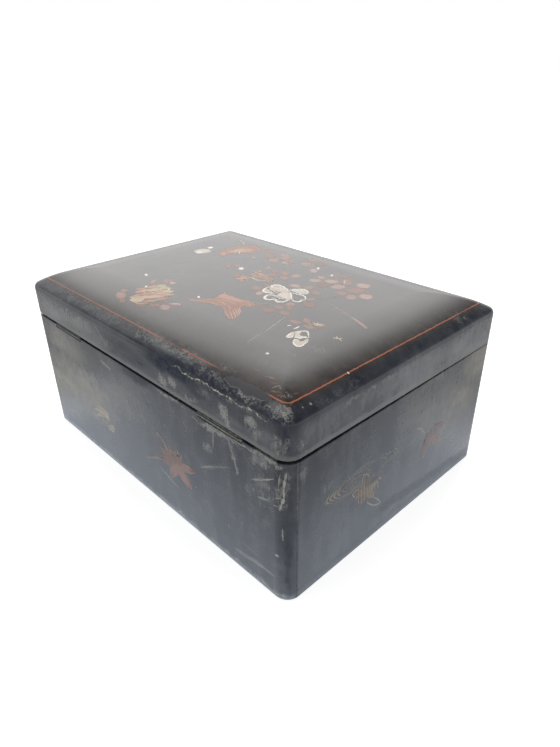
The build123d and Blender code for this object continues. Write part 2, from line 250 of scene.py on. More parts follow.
def noise(position, scale, detail=3.0, roughness=0.55):
    sockets = {"Vector": position, "Scale": scale, "Detail": detail, "Roughness": roughness}
    return Value(add("ShaderNodeTexNoise", sockets).outputs[0])


def parts_of(position):
    """The x, y and z of a position"""
    return [Value(socket) for socket in add("ShaderNodeSeparateXYZ", {"Vector": position}).outputs]


def opaque(color):
    return (color[0], color[1], color[2], 1.0)


def label(name):
    """A Python name as words: corner_radius becomes Corner Radius"""
    return name.replace("_", " ").title()


def shared_effect(build):
    """Turns a function into a shader node group that is built once and placed wherever it is called

    Its arguments are the group's inputs, their defaults give each socket's kind, and its results are
    the group's outputs.
    """
    name = label(build.__name__)
    signature = inspect.signature(build)
    defaults = {label(key): argument.default for key, argument in signature.parameters.items()}

    def built():
        tree = bpy.data.node_groups.new(name, "ShaderNodeTree")
        for key, default in defaults.items():
            kind = {3: "Vector", 4: "Color"}[len(default)] if isinstance(default, tuple) else "Float"
            socket = tree.interface.new_socket(key, in_out="INPUT", socket_type="NodeSocket" + kind)
            socket.default_value = default
        given = tree.nodes.new("NodeGroupInput").outputs
        results = build(*(Value(given[key]) for key in defaults))
        for key in results:
            kind = "Color" if key == "Color" else "Float"
            tree.interface.new_socket(key, in_out="OUTPUT", socket_type="NodeSocket" + kind)
        outputs = tree.nodes.new("NodeGroupOutput").inputs
        for key, value in results.items():
            plug(outputs[key], value)
        return tree

    def place(*values, **named_values):
        group = bpy.data.node_groups.get(name) or built()
        arguments = signature.bind(*values, **named_values).arguments
        inputs = {label(key): value for key, value in arguments.items()}
        node = add("ShaderNodeGroup", inputs, node_tree=group)
        results = {socket.name: Value(socket) for socket in node.outputs}
        return results if len(results) > 1 else results.popitem()[1]

    return place


# Shared effects


HAIRLINE_AXIS = (0.25, 0.25, 1.0)
HAIRLINE_TURNS = (38.0, -57.0)
PALE_CLOUDS = (1.32, 1.30, 1.24)
DARK_CLOUDS = (0.70, 0.71, 0.76)
FILM_COLOR = (0.26, 0.26, 0.255, 1.0)
PAINT_SHADE = (0.66, 0.62, 0.60)


@shared_effect
def outline_distance(position=(0, 0, 0), half_length=140.0, half_depth=102.0, corner_radius=9.5):
    """Distance from a rounded rectangle seen from above, negative inside it"""
    x, y, _ = parts_of(position)
    past_x = abs(x) - (half_length - corner_radius)
    past_y = abs(y) - (half_depth - corner_radius)
    out_x = larger(past_x, 0.0)
    out_y = larger(past_y, 0.0)
    inside = smaller(larger(past_x, past_y), 0.0)
    return {"Distance": (out_x * out_x + out_y * out_y) ** 0.5 + inside - corner_radius}


@shared_effect
def soft_patch(position=(0, 0, 0), middle=(0, 0, 0), size=(5, 5, 5), core=0.2):
    """A soft-edged ellipsoid, 1 in its middle"""
    return {"Mask": fade(calculated("LENGTH", (position - middle) / size), 1.0, core)}


@shared_effect
def scratch(position=(0, 0, 0), start=(0, 0, 0), end=(1, 0, 0), width=0.5):
    """A line between two points that thins out at its ends"""
    along = end - start
    away = position - start
    place = calculated("DOT_PRODUCT", away, along) / calculated("DOT_PRODUCT", along, along)
    place = smaller(larger(place, 0.0), 1.0)
    aside = calculated("LENGTH", away - along * place)
    thin = 1.0 - abs(place * 2.0 - 1.0) ** 2.0 * 0.7
    edge = width * 0.5 * thin
    return {"Mask": fade(aside, edge * 1.6, edge * 0.3)}


def hairlines(position, turn):
    """Long fine scratches that run one way"""
    axis = Vector(HAIRLINE_AXIS).normalized()
    sockets = {"Vector": position, "Axis": axis, "Angle": math.radians(turn)}
    turned = Value(add("ShaderNodeVectorRotate", sockets).outputs[0])
    where = fade(noise(position, 0.03, 2.0, 0.5), 0.45, 0.60)
    return fade(noise(turned * (0.03, 1.1, 0.5), 1.0, 2.0, 0.5), 0.70, 0.78) * where


@shared_effect
def aged_lacquer(position=(0, 0, 0), color=(0.04, 0.04, 0.05, 1), roughness=0.3, film=0.1):
    """Cloudy, finely marked lacquer: its colour, roughness and height in millimetres"""
    clouds = noise(position, 0.022, 4.0, 0.6)
    mottle = noise(position, 0.16, 5.0, 0.65)
    runs = noise(position * (1.0, 1.0, 0.18), 0.10, 4.0, 0.6)
    shade = clouds * 0.40 + mottle * 0.30 + runs * 0.30
    clean = mixed(fade(shade, 0.36, 0.64), color * DARK_CLOUDS, color * PALE_CLOUDS)
    cover = fade(clouds * 0.8 + runs * 0.8 + mottle * 0.5, 0.88, 1.22)
    hairs = larger(*(hairlines(position, turn) for turn in HAIRLINE_TURNS))
    cover = (cover + hairs * 1.2) * film
    rough = roughness + (mottle - 0.5) * 0.18 + (runs - 0.5) * 0.18
    waves = noise(position, 0.045, 2.0, 0.4) * 0.10
    pits = noise(position, 0.35, 2.0, 0.5) * 0.006
    return {"Color": mixed(cover, clean, FILM_COLOR), "Roughness": rough, "Height": waves + pits}


@shared_effect
def dust_streaks(position=(0, 0, 0), stretch=(1, 1, 0.25), amount=0.5):
    """Wiped dust: blotches broken up by streaks along one way and by a fine grain"""
    streaks = noise(position * stretch, 0.55, 4.0, 0.65)
    blotches = noise(position, 0.05, 3.0, 0.6)
    low = amount * -0.24 + 0.66
    mask = fade(streaks * 0.55 + blotches * 0.45, low, low + 0.20)
    grain = fade(noise(position, 1.3, 3.0, 0.6), 0.35, 0.62) * 0.6 + 0.4
    return {"Mask": mask * grain}


@shared_effect
def ragged_patch(patch=0.0, position=(0, 0, 0), stretch=(1, 1, 0.3)):
    """A soft patch eaten away by streaks, blotches and grain, so that no edge is smooth"""
    streaks = noise(position * stretch, 0.55, 5.0, 0.7)
    blotches = noise(position, 0.11, 4.0, 0.6)
    uneven = (streaks * 0.6 + blotches * 0.4 - 0.5) * 3.0 + patch
    mask = fade(uneven, 0.12, 1.00) * smaller(patch * 2.4, 1.0)
    grain = fade(noise(position, 1.1, 5.0, 0.75), 0.40, 0.62) * 0.75 + 0.25
    return {"Mask": mask * grain}


@shared_effect
def crackle(position=(0, 0, 0), amount=0.5):
    """Fine pale curls and crumbs of old, split lacquer"""
    ridge = abs(noise(position, 0.42, 3.0, 0.6) - 0.5)
    line = fade(ridge, amount * 0.045 + 0.012, 0.008)
    low = amount * -0.22 + 0.62
    where = fade(noise(position, 0.17, 3.0, 0.6), low, low + 0.12)
    crumbs = fade(noise(position, 0.8, 4.0, 0.7), 0.53, 0.64)
    return {"Mask": larger(line * 0.8, crumbs * 0.8) * where}


@shared_effect
def flecks(position=(0, 0, 0), spacing=9.0, size=0.45):
    """Small scattered specks"""
    cells = add("ShaderNodeTexVoronoi", {"Vector": position, "Scale": 1.0 / spacing}).outputs
    away = Value(cells["Distance"]) * spacing
    chance, size_draw, _ = parts_of(Value(cells["Color"]))
    reach = size * (size_draw * 0.9 + 0.2)
    return {"Mask": fade(away, reach, reach * 0.5) * fade(chance, 0.5, 0.8)}


@shared_effect
def worn_paint(position=(0, 0, 0), paint=(0.3, 0.1, 0.06, 1), light_paint=(0.4, 0.2, 0.12, 1),
               ground=(0.05, 0.045, 0.04, 1), tone=0.5, middle=1.0, rubbed=0.3, faded=0.0, rim=0.6):
    """Brushed paint, darker at its rim, that has rubbed and faded places"""
    brush = noise(position, 0.8, 3.0, 0.6)
    blots = noise(position, 0.35, 4.0, 0.7)
    dark = paint * PAINT_SHADE
    level = brush * 0.6 + tone - 0.3
    color = mixed(fade(level, 0.0, 0.5), dark, paint)
    color = mixed(fade(level, 0.45, 1.0), color, light_paint)
    color = mixed((1.0 - middle) * rim, color, dark)
    limit = rubbed * -0.35 + 0.80
    lost = larger(fade(blots, limit, limit + 0.14) * 0.85, faded)
    return {"Color": mixed(lost, color, ground), "Roughness": brush * 0.15 + 0.26, "Height": brush * 0.02}


# Materials


def begin_material(name):
    """A material, its shader, and Object coordinates in millimetres"""
    material = bpy.data.materials.new(name)
    material.use_nodes = True
    tree = material.node_tree
    coordinates = Value(add("ShaderNodeTexCoord", {}, tree).outputs["Object"])
    return material, tree.nodes["Principled BSDF"], coordinates * (1 / MM)


def end_material(shader, color, roughness, height):
    """Plugs a colour, a roughness and a height in millimetres into a shader"""
    plug(shader.inputs["Base Color"], color)
    plug(shader.inputs["Roughness"], roughness)
    raised = add("ShaderNodeBump", {"Height": height, "Distance": MM, "Strength": 1.0})
    plug(shader.inputs["Normal"], Value(raised.outputs[0]))


def wandering(position, scale, amount):
    """The position pushed about a little, for hand-made edges"""
    sockets = {"Vector": position, "Scale": scale, "Detail": 2.0}
    push = Value(add("ShaderNodeTexNoise", sockets).outputs["Color"])
    return position + (push - 0.5) * amount


def strongest(masks):
    """The largest of many masks, taken in one by one so that few values wait in the shader at a time"""
    return functools.reduce(larger, masks)


def all_patches(position, table):
    """Soft patches from rows of x, y, z, length, depth, height and strength"""
    return strongest(soft_patch(position, row[:3], row[3:6]) * row[6] for row in table)


def all_scratches(position, table):
    """Scratches from rows of x, y, z at one end, x, y, z at the other, width and strength"""
    return strongest(scratch(position, row[:3], row[3:6], row[6]) * row[7] for row in table)


CHIP_COLOR = (0.004, 0.004, 0.005)
CRACK_COLOR = (0.56, 0.52, 0.44)
FLAKE_COLOR = (0.038, 0.040, 0.046)
FLAKE_RIM_COLOR = (0.16, 0.115, 0.085)
FOOT_COLOR = (0.008, 0.010, 0.014)
HAZE_COLOR = (0.27, 0.28, 0.29)
NAVY_COLOR = (0.004, 0.009, 0.024)
RUBBED_COLOR = (0.40, 0.15, 0.07)
SEAM_COLOR = (0.20, 0.165, 0.13)
WARM_HAZE_COLOR = (0.31, 0.295, 0.255)

WALL_FILM = 0.10
LID_FILM = 0.045
INSIDE_FILM = 0.03
DUST_COVER = 0.85
DUST_ROUGHNESS = 0.35
PAINT_ROUGHNESS = 0.08
CHIP_COVER = 0.9
CHIP_ROUGHNESS = 0.2


def dusted(look, mask, color):
    """Lacquer with dust laid over it, which is also duller"""
    color = mixed(mask * DUST_COVER, look["Color"], opaque(color))
    return look | {"Color": color, "Roughness": mask * DUST_ROUGHNESS + look["Roughness"]}


def painted(look, mask, color, rough_change=PAINT_ROUGHNESS):
    """Lacquer with a colour laid over it where the mask shows"""
    color = mixed(mask, look["Color"], opaque(color))
    return look | {"Color": color, "Roughness": mask * rough_change + look["Roughness"]}


def veiled(look, position, table, wear, color):
    """A thin haze over the table's patches, unevenly wiped"""
    fine = noise(position * (1.0, 1.0, 0.4), 0.3, 4.0, 0.65)
    broad = noise(position * (0.5, 0.5, 1.2), 0.05, 4.0, 0.6)
    uneven = fade(fine * 0.4 + broad * 0.6, 0.34, 0.66) * 1.2 + 0.4
    return dusted(look, all_patches(position, table) * uneven * wear, color)


# Painted shade: patches where the lacquer is painted dark navy to darken its reflection, on the lid's back
# shoulder, at the back left corner and on the wall just under the lid
NAVY_BAND = [
    (-46, BACK, 117, 50, 6, 9, 1), (-86, BACK, 118.6, 30, 6, 6, 0.7), (-86, 99.6, 121.6, 46, 4, 4, 1),
    (-60, 99.4, 121.8, 46, 4, 4, 1), (-46, 93, 126.2, 34, 5, 5, 0.55), (-6, BACK, 95, 34, 6, 7, 0.6),
    (8, BACK, 109, 60, 6, 13, 0.5), (-110, BACK, 103, 30, 6, 5, 0.45), (-68, BACK, 112, 22, 6, 7, 0.65),
    (-136.2, 99.6, 112, 4, 4, 12, 1), (-130, 100, 120.6, 10, 4, 4, 0.85), (-138.4, 99.6, 30, 4, 4, 46, 0.6),
]


def dulled(look, position, wear):
    """Dark navy patches of painted shade that darken the reflection on the lid's back shoulder, at the back
    left corner and just under the lid's edge; the lacquer is rougher there too
    """
    navy = all_patches(wandering(position, 0.09, 6.0), NAVY_BAND)
    grain = fade(noise(position, 0.35, 4.0, 0.7), 0.34, 0.56) * 0.35 + 0.65
    return painted(look, navy * grain * wear, NAVY_COLOR, 0.62)


CHIPS = [
    (-14.5, BACK, 80, 2.2, 3, 1.2, 0.9), (-17, BACK, 78.6, 1.4, 3, 0.9, 0.9),
    (-12.5, BACK, 108.2, 6.5, 3, 0.8, 0.95),
]


def chipped(look, near):
    """Small dark chips, and where they are"""
    chips = all_patches(near, CHIPS) * CHIP_COVER
    return painted(look, chips, CHIP_COLOR, CHIP_ROUGHNESS), chips


BACK_SCRATCHES = [
    (-20, BACK, 32, -40, BACK, 26, 1.8, 0.36), (-50, BACK, 28, -58, BACK, 25, 0.8, 0.2),
    (-67, BACK, 58.4, -80, BACK, 66, 1.3, 0.52), (-80, BACK, 66, -96, BACK, 74, 1, 0.28),
    (-70, BACK, 60, -86, BACK, 69, 2.6, 0.16), (-113, BACK, 76, -121, BACK, 80, 0.8, 0.95),
    (-120, BACK, 79.5, -130, BACK, 86, 0.9, 1), (-118, BACK, 67, -125, BACK, 69, 1.1, 0.95),
    (-96, BACK, 13, -112, BACK, 14.6, 3.4, 0.26), (-108, BACK, 15, -122, BACK, 16.4, 3.4, 0.36),
    (-118, BACK, 16, -130, BACK, 16.2, 1.6, 0.36), (-100, BACK, 12.6, -128, BACK, 17.4, 0.8, 0.3),
    (-102, BACK, 23, -116, BACK, 22, 0.9, 0.2), (-82, BACK, 94, -81, BACK, 79, 1.2, 0.5),
    (-94, BACK, 95, -99, BACK, 82, 2.4, 0.34), (-98, BACK, 85, -102, BACK, 72.5, 1.5, 0.55),
    (-136.8, 99.7, 92.4, -136.2, 100.2, 87.8, 1.3, 0.75),
    (-136.2, 100.2, 87.8, -135.6, 100.6, 82.3, 1.5, 0.95),
    (-135.6, 100.6, 82.3, -135.8, 100.5, 76.1, 1.3, 1), (-135.8, 100.5, 76.1, -134.9, 101, 71.7, 1.6, 1),
    (-134.9, 101, 71.7, -133.5, 101.6, 67.4, 1.5, 0.95), (-133.9, 101.4, 90, -133.2, 101.7, 83, 1, 0.6),
    (-134.2, 101.3, 75.4, -131, 102, 74, 0.9, 0.85), (-132.6, 101.9, 69.6, -129.6, 102.1, 68.4, 0.9, 0.6),
    (-135, 101, 55, -135.3, 100.8, 46, 1, 0.6), (-130.6, BACK, 33.4, -133, BACK, 34.6, 2, 0.85),
    (-90, BACK, 29, -91.5, BACK, 26, 0.7, 0.55), (-59, BACK, 38, -61, BACK, 39.5, 0.7, 0.4),
    (95, BACK, 58, 60, BACK, 62, 3, 0.14), (42, BACK, 90, 29, BACK, 88, 3, 0.4),
    (-31, BACK, 72, -33, BACK, 70, 0.9, 0.4),
]

BACK_HAZE = [
    (70, BACK, 50, 54, 6, 28, 0.5), (114, BACK, 46, 46, 6, 34, 0.64), (98, BACK, 84, 56, 6, 18, 0.34),
    (20, BACK, 68, 46, 6, 24, 0.2), (116, BACK, 24, 40, 6, 16, 0.22), (LEFT, -96, 86, 6, 50, 34, 0.6),
    (LEFT, -66, 62, 6, 46, 36, 0.48), (LEFT, -34, 76, 6, 56, 34, 0.3), (LEFT, -88, 24, 6, 30, 24, 0.14),
]

BACK_DUST = [
    (108, BACK, 84, 46, 6, 18, 0.55), (72, BACK, 62, 64, 6, 18, 0.58), (104, BACK, 66, 40, 6, 18, 0.5),
    (98, BACK, 46, 46, 6, 16, 0.55), (66, BACK, 36, 40, 6, 12, 0.45), (30, BACK, 66, 40, 6, 14, 0.3),
    (-84, BACK, 92.6, 34, 6, 3.4, 0.75), (-104, BACK, 95.6, 38, 6, 1.8, 0.95),
    (-38, BACK, 95.2, 34, 6, 1.6, 0.7), (-120, BACK, 92, 18, 6, 5.6, 0.62),
    (-124, BACK, 96.2, 26, 6, 2.4, 0.8), (-76, BACK, 77, 14, 6, 6, 0.42), (-98, BACK, 86, 3.4, 6, 10, 0.6),
    (-101, BACK, 75, 2.6, 6, 4, 0.6), (-124, BACK, 74, 15, 6, 20, 0.42), (-135, BACK, 80, 8, 6, 24, 0.46),
    (-138, 100, 86, 5, 6, 16, 0.46), (-112, BACK, 68, 10, 6, 6, 0.5), (-40, BACK, 60, 50, 6, 24, 0.14),
    (LEFT, 92, 88, 6, 8, 10, 0.4), (LEFT, 8, 72, 6, 8, 7, 0.3), (LEFT, 14, 92, 6, 10, 6, 0.3),
    (LEFT, -34, 94, 6, 12, 5, 0.44), (LEFT, 66, 68, 6, 26, 8, 0.28),
]


def wall_material(finish):
    """Lacquer of the walls: dusty at the back, scratched, with painted navy shade under the lid, a seam at
    the ends, and a darker band and paler edge at the foot
    """
    material, shader, position = begin_material("Wall Lacquer")
    look = aged_lacquer(position, opaque(finish.wall_color), finish.gloss + 0.04, WALL_FILM)
    # Painted shade: dark navy patches that darken the reflection
    look = dulled(look, position, finish.wear)
    look = veiled(look, position, BACK_HAZE, finish.wear, WARM_HAZE_COLOR)
    loose = wandering(wandering(position, 0.12, 9.0), 0.5, 3.0)
    near = wandering(position, 0.5, 1.1)
    x, y, _ = parts_of(position)
    smears = ragged_patch(all_patches(loose, BACK_DUST), position, stretch=(1.0, 1.0, 0.28))
    back = fade(y, BACK - 1.0, BACK - 0.3)
    haze = dust_streaks(position, stretch=(0.4, 0.4, 0.1), amount=0.5) * (back * 0.14 + 0.06)
    marks = all_scratches(near, BACK_SCRATCHES)
    specks = flecks(position, spacing=12.0, size=0.5) * 0.5
    look = dusted(look, strongest([smears, haze, marks, specks]) * finish.wear, finish.dust_color)
    look = seam_line(look, near, abs(x))
    look, chips = chipped(look, near)
    look = scuffed_foot(look, position)
    end_material(shader, look["Color"], look["Roughness"], chips * -0.12 + look["Height"])
    return material


def seam_line(look, position, end_distance):
    """The joint between the back wall and the left end wall: pale above, dark below, faint elsewhere"""
    x, y, z = parts_of(position)
    line = fade(abs(abs(y) - SEAM), 0.55, 0.12) * fade(end_distance, HALF_LENGTH - 0.6, HALF_LENGTH - 0.2)
    near_corner = fade(y, 80.0, 90.0) * fade(x, -100.0, -130.0)
    uneven = fade(noise(position * (0.1, 0.1, 1.0), 0.22, 4.0, 0.7), 0.36, 0.62)
    pale = (near_corner * fade(z, 52.0, 70.0) * 0.5 + 0.04) * uneven
    dark = near_corner * fade(z, 66.0, 48.0) * (uneven * 0.5 + 0.35)
    look = painted(look, line * pale, SEAM_COLOR, 0.2)
    return painted(look, line * dark, CHIP_COLOR, 0.5)


def scuffed_foot(look, position):
    """A darker, rougher band low on the ends, and a paler edge at the foot of the back"""
    x, y, z = parts_of(position)
    height = noise(position * (1.0, 1.0, 0.3), 0.09, 4.0, 0.6) * 9.0 + z - 4.5
    rise = y * 0.11 + 17.0
    scuffs = fade(noise(position * (0.5, 0.5, 1.5), 0.6, 4.0, 0.7), 0.38, 0.60)
    ends = fade(abs(x), HALF_LENGTH - 1.0, HALF_LENGTH - 0.3)
    band = fade(abs(height - rise), 6.0, 2.0) * fade(y, 36.0, 10.0)
    band = larger(band, fade(height, 10.0, 6.5) * 0.5) * ends * (scuffs * 0.4 + 0.4)
    look = painted(look, band, FOOT_COLOR, 0.18)
    pale = ((1.0 - ends) * 0.44 + 0.16) * fade(height, 6.4, 2.4) * (scuffs * 0.6 + 0.4)
    return painted(look, pale, HAZE_COLOR, 0.1)


LID_HAZE = [
    (-140, 60, 109, 7, 60, 16, 0.24), (-140, -6, 109, 7, 70, 16, 0.4), (-140, -80, 109, 7, 74, 16, 0.6),
    (118, BACK, 108, 64, 7, 14, 0.44), (62, BACK, 107, 60, 7, 13, 0.28), (22, BACK, 106, 34, 7, 10, 0.08),
    (-126, 101, 107, 18, 8, 12, 0.2), (-104, BACK, 104, 34, 6, 7, 0.2), (104, 97, 123, 76, 9, 9, 0.26),
    (24, 97, 124, 58, 9, 8, 0.22), (-30, 95, 125, 34, 6, 5, 0.34), (-58, 93.6, 125.8, 20, 4, 4, 0.2),
    (-128, 96, 124.6, 13, 4, 5, 0.26), (-104, 76, 131, 26, 14, 8, 0.1), (-134, -98, 122, 9, 26, 9, 0.16),
]


def lid_material(finish):
    """Lacquer of the lid: a warm crown, a painted border, and a rubbed and cracked shoulder"""
    material, shader, position = begin_material("Lid Lacquer")
    _, _, z = parts_of(position)
    distance = outline_distance(position, HALF_LENGTH, HALF_DEPTH, CORNER)
    crown = fade(distance, -4.0, -10.0) * fade(z, SHOULDER, SHOULDER + 3.0)
    base = mixed(crown, opaque(finish.wall_color), opaque(finish.crown_color))
    look = aged_lacquer(position, base, finish.gloss, LID_FILM)
    # Painted shade: dark navy patches that darken the reflection
    look = dulled(look, position, finish.wear)
    look = veiled(look, position, LID_HAZE, finish.wear, HAZE_COLOR)
    near = wandering(position, 0.5, 0.9)
    look = lid_dust(look, position, near, fade(distance, -4.0, -0.8), finish)
    look, line = border_line(look, position, near, finish)
    look, flaked = flaked_patch(look, position)
    look, crack = shoulder_crack(look, position)
    look, chips = chipped(look, near)
    height = look["Height"] + chips * -0.15 + flaked * -0.10 + crack * -0.10 + line * 0.03
    end_material(shader, look["Color"], look["Roughness"], height)
    return material


LID_DUST = [
    (-35, BACK, 106, 9, 6, 6.4, 0.8), (-46, BACK, 108, 6, 6, 6.4, 0.72), (-92, BACK, 109, 6, 6, 7.4, 0.95),
    (-95, BACK, 103.5, 3.6, 6, 6, 0.8), (-114, BACK, 112, 8, 6, 6, 0.85), (-118, BACK, 107, 6, 6, 7, 0.7),
    (-78, BACK, 113, 12, 6, 5, 0.44), (-62, BACK, 104, 14, 6, 4, 0.5), (30, BACK, 108, 20, 6, 8, 0.5),
    (70, BACK, 111, 50, 6, 10, 0.52), (112, BACK, 107, 34, 6, 11, 0.6), (-132, 101, 107, 5, 6, 13, 0.55),
    (-140, 92, 107, 5, 6, 10, 0.42), (-140, 20, 116, 5, 90, 3, 0.4), (-140, -50, 103, 5, 60, 4, 0.4),
]

LID_CRACKLE = [
    (-14, 95, 125, 30, 7, 6, 0.72), (-46, 94.6, 125.2, 30, 6, 5, 1), (-70, 97.6, 123.6, 26, 4, 4, 0.75),
    (-104, 98.6, 122.8, 22, 3.6, 3, 1), (-82, 91, 127, 12, 3, 3, 0.36), (-131, 97, 123.5, 9, 9, 7, 1),
    (-124, 97, 124, 10, 4, 4, 0.9), (-136.4, 99, 108, 3, 3, 14, 0.7), (60, 96, 124, 70, 5, 5, 0.45),
    (-90, 102, 119, 50, 3, 2.4, 0.6), (-125, 88.5, 127.8, 6, 4, 4, 0.36), (-110, 48, CROWN, 6, 5, 4, 0.5),
    (-134, -62, 125, 8, 9, 5, 0.65), (-136, 60, 122, 5, 34, 4, 0.22),
]

LID_SCRATCHES = [
    (-77.5, 77, CROWN, -74, 55, CROWN, 0.7, 0.55), (-74, 55, CROWN, -67, 31, CROWN, 0.8, 0.8),
    (-103, 5.5, CROWN, -75, -4, CROWN, 0.6, 0.25), (-115, 74, CROWN, -111, 70, CROWN, 0.7, 0.4),
    (-105, 62, CROWN, -107, 64, CROWN, 1.2, 0.35), (-127, 50, CROWN, -125, 47, CROWN, 1, 0.45),
    (-88, 81, CROWN, -94, 82, CROWN, 0.8, 0.35), (-95, 78, CROWN, -98, 80, CROWN, 0.7, 0.3),
    (-90, -26, CROWN, -88.5, -28, CROWN, 1, 0.35), (-105, -17, CROWN, -104, -18, CROWN, 1, 0.3),
    (-116, 89, 128, -118, 86, 129, 0.8, 0.45), (-118, 86, 129, -121, 87.5, 128.4, 0.8, 0.45),
    (-127.5, 89, 127.6, -126, 87.4, 128.2, 0.8, 0.5), (42, BACK, 117, 27, BACK, 103, 3.4, 0.26),
    (-135.2, 81.8, 123.5, -135, 80.8, 123.6, 1.6, 0.9), (-134.9, 87, 123.8, -134.8, 86.2, 123.9, 1.2, 0.6),
]

WARM_STREAKS = [
    (-96, 84.4, 129.6, -102, 83.4, 129.8, 0.7, 0.3), (-107, 85, 129.4, -115, 83.4, 129.8, 1, 0.5),
    (-112, 86.8, 128.8, -117, 85.6, 129.2, 0.8, 0.35), (-116, 91, 127.3, -122, 89, 128, 1.1, 0.55),
    (-121, 92, 126.8, -126, 89.6, 127.6, 0.8, 0.35), (-127, 86, 127.8, -129, 80, 127.6, 0.8, 0.3),
]


def lid_dust(look, position, near, rim, finish):
    """Dust, split lacquer, scratches and specks of the lid, a pale lower edge that is dust and a painted
    highlight, and a few warm rubbed streaks
    """
    loose = wandering(wandering(position, 0.14, 7.0), 0.5, 2.6)
    smears = ragged_patch(all_patches(loose, LID_DUST), position, stretch=(1.0, 1.0, 0.45))
    haze = dust_streaks(position, stretch=(0.3, 0.3, 0.3), amount=0.4) * 0.08
    split = crackle(position, amount=1.0) * all_patches(loose, LID_CRACKLE)
    x, _, z = parts_of(position)
    # A pale band along the lower edge of the lid: dust, together with a painted highlight of that edge
    edge = fade(noise(position, 0.25, 4.0, 0.7) * 3.0 + z, 105.2, 102.2) * (rim * 0.22 + 0.04)
    edge = edge * (fade(x, HALF_LENGTH - 1, HALF_LENGTH - 20) * 0.7 + 0.3)
    marks = all_scratches(near, LID_SCRATCHES)
    specks = flecks(position, spacing=14.0, size=0.5) * 0.6
    dust = strongest([smears, haze, split, edge, marks, specks])
    look = dusted(look, dust * finish.wear, finish.dust_color)
    broken = fade(noise(position, 0.7, 4.0, 0.7), 0.38, 0.58)
    return painted(look, all_scratches(near, WARM_STREAKS) * broken, RUBBED_COLOR, 0.05)


BORDER_CORNER = 4.0
BORDER_BREAKS = [
    (-92, 92, 126, 31, 7, 8, 1), (-36, 93, 126, 22, 5, 8, 0.62), (10, 93, 126, 34, 5, 8, 0.3),
    (70, 93, 126, 70, 5, 8, 0.35), (-131, -70, 126, 6, 14, 8, 0.35),
]


def border_line(look, position, near, finish):
    """The thin red line round the top of the lid, rubbed away in places, and where it is"""
    inset = finish.line_inset / MM
    distance = outline_distance(near, HALF_LENGTH - inset, HALF_DEPTH - inset, BORDER_CORNER)
    half_width = finish.line_width / MM / 2
    _, _, z = parts_of(position)
    line = fade(abs(distance), half_width + 0.2, half_width - 0.15) * fade(z, SHOULDER, SHOULDER + 1.0)
    worn = fade(noise(position, 0.5, 4.0, 0.7), 0.56, 0.72) * 0.7
    line = line * (1.0 - larger(all_patches(near, BORDER_BREAKS), worn))
    return painted(look, line, finish.line_color), line


FLAKED = [
    (-87, 95.4, 125, -101, 95, 125.2, 6, 1), (-98, 95.2, 125.1, -113, 95, 125.2, 7.4, 1),
    (-108, 95.4, 125, -120, 94.2, 125.5, 5.4, 1),
]


def flaked_patch(look, position):
    """One long bare place beside the border, where the top coat has flaked off, and where it is"""
    plate = all_scratches(wandering(wandering(position, 0.13, 3.4), 0.5, 1.2), FLAKED)
    look = painted(look, fade(plate, 0.20, 0.40) * 0.28, FLAKE_RIM_COLOR, 0.1)
    bare = fade(plate, 0.38, 0.52)
    return painted(look, bare * 0.92, FLAKE_COLOR, 0.1), bare


def shoulder_crack(look, position):
    """A fine broken crack under the shoulder, at the back near the left corner, and where it is; its pale
    colour is split lacquer and a painted highlight of its edge
    """
    x, y, z = parts_of(position)
    middle = noise(position * (1, 1, 0), 0.1, 4.0, 0.62) * 7.0 + (SHOULDER - 2.4)
    thick = noise(position, 0.5, 4.0, 0.7) * 3.4 - 1.2
    line = fade(abs(z - middle) / larger(thick, 0.08), 1.0, 0.3)
    stretch = fade(x, -40.0, -62.0) * fade(y, 92.0, 99.0) * fade(x, -132.0, -122.0)
    broken = fade(noise(position, 0.35, 4.0, 0.7), 0.44, 0.58) * 0.8 + 0.05
    line = line * stretch * broken
    return painted(look, line, CRACK_COLOR, 0.3), line


def inside_material(finish):
    """Plain dark lacquer of the floor of the box"""
    material, shader, position = begin_material("Inside Lacquer")
    look = aged_lacquer(position, opaque(finish.inside_color), finish.gloss + 0.10, INSIDE_FILM)
    haze = dust_streaks(position, stretch=(0.3, 0.9, 0.5), amount=0.5) * 0.04
    specks = flecks(position, spacing=10.0, size=0.4) * 0.5
    look = dusted(look, larger(haze, specks), finish.dust_color)
    end_material(shader, look["Color"], look["Roughness"], look["Height"])
    return material


# The near-black colour is the barrels' grime and also the painted shade of the gaps round them
TARNISH_COLOR = (0.13, 0.095, 0.055, 1.0)
GRIME_COLOR = (0.006, 0.006, 0.006, 1.0)
BARREL_GAP = 97.9
GRIME_ABOVE = (98.3, 98.8)
GRIME_BELOW = (96.4, 95.9)


def brass_material(brass):
    """Dull brass with brown tarnish; outside, the barrels are grey dust over black grime, with painted shade
    in black along the gaps above and below them and along a line just under the lid's edge
    """
    material, shader, position = begin_material("Aged Brass")
    tarnish = fade(noise(position, 0.45, 4.0, 0.65), 0.40, 0.62)
    clean = mixed(tarnish, opaque(brass.brass_color), TARNISH_COLOR)
    _, y, z = parts_of(position)
    outside = fade(y, HALF_DEPTH - 4.0, HALF_DEPTH - 2.4)
    low = 0.62 - 0.35 * brass.dust_amount
    dust = fade(noise(position, 0.8, 4.0, 0.7), low, low + 0.2) * 0.65 + 0.35
    # Painted shade: a black line along each barrel just under the lid's edge; elsewhere black grime shows
    # through the dust
    barrel = mixed(dust * fade(abs(z - BARREL_GAP), 0.15, 0.45), GRIME_COLOR, opaque(brass.barrel_dust))
    color = mixed(outside, clean, barrel)
    # Painted shade: black bands in the gaps above and below each barrel
    grime = larger(fade(z, *GRIME_ABOVE), fade(z, *GRIME_BELOW)) * outside * 0.9
    lines = noise(position * (2.0, 0.5, 0.5), 0.6, 3.0, 0.6)
    roughness = tarnish * 0.2 + 0.34 + outside * 0.25
    end_material(shader, mixed(grime, color, GRIME_COLOR), roughness, outside * 0.03 + lines * 0.02)
    plug(shader.inputs["Metallic"], outside * -0.9 + 0.9)
    return material


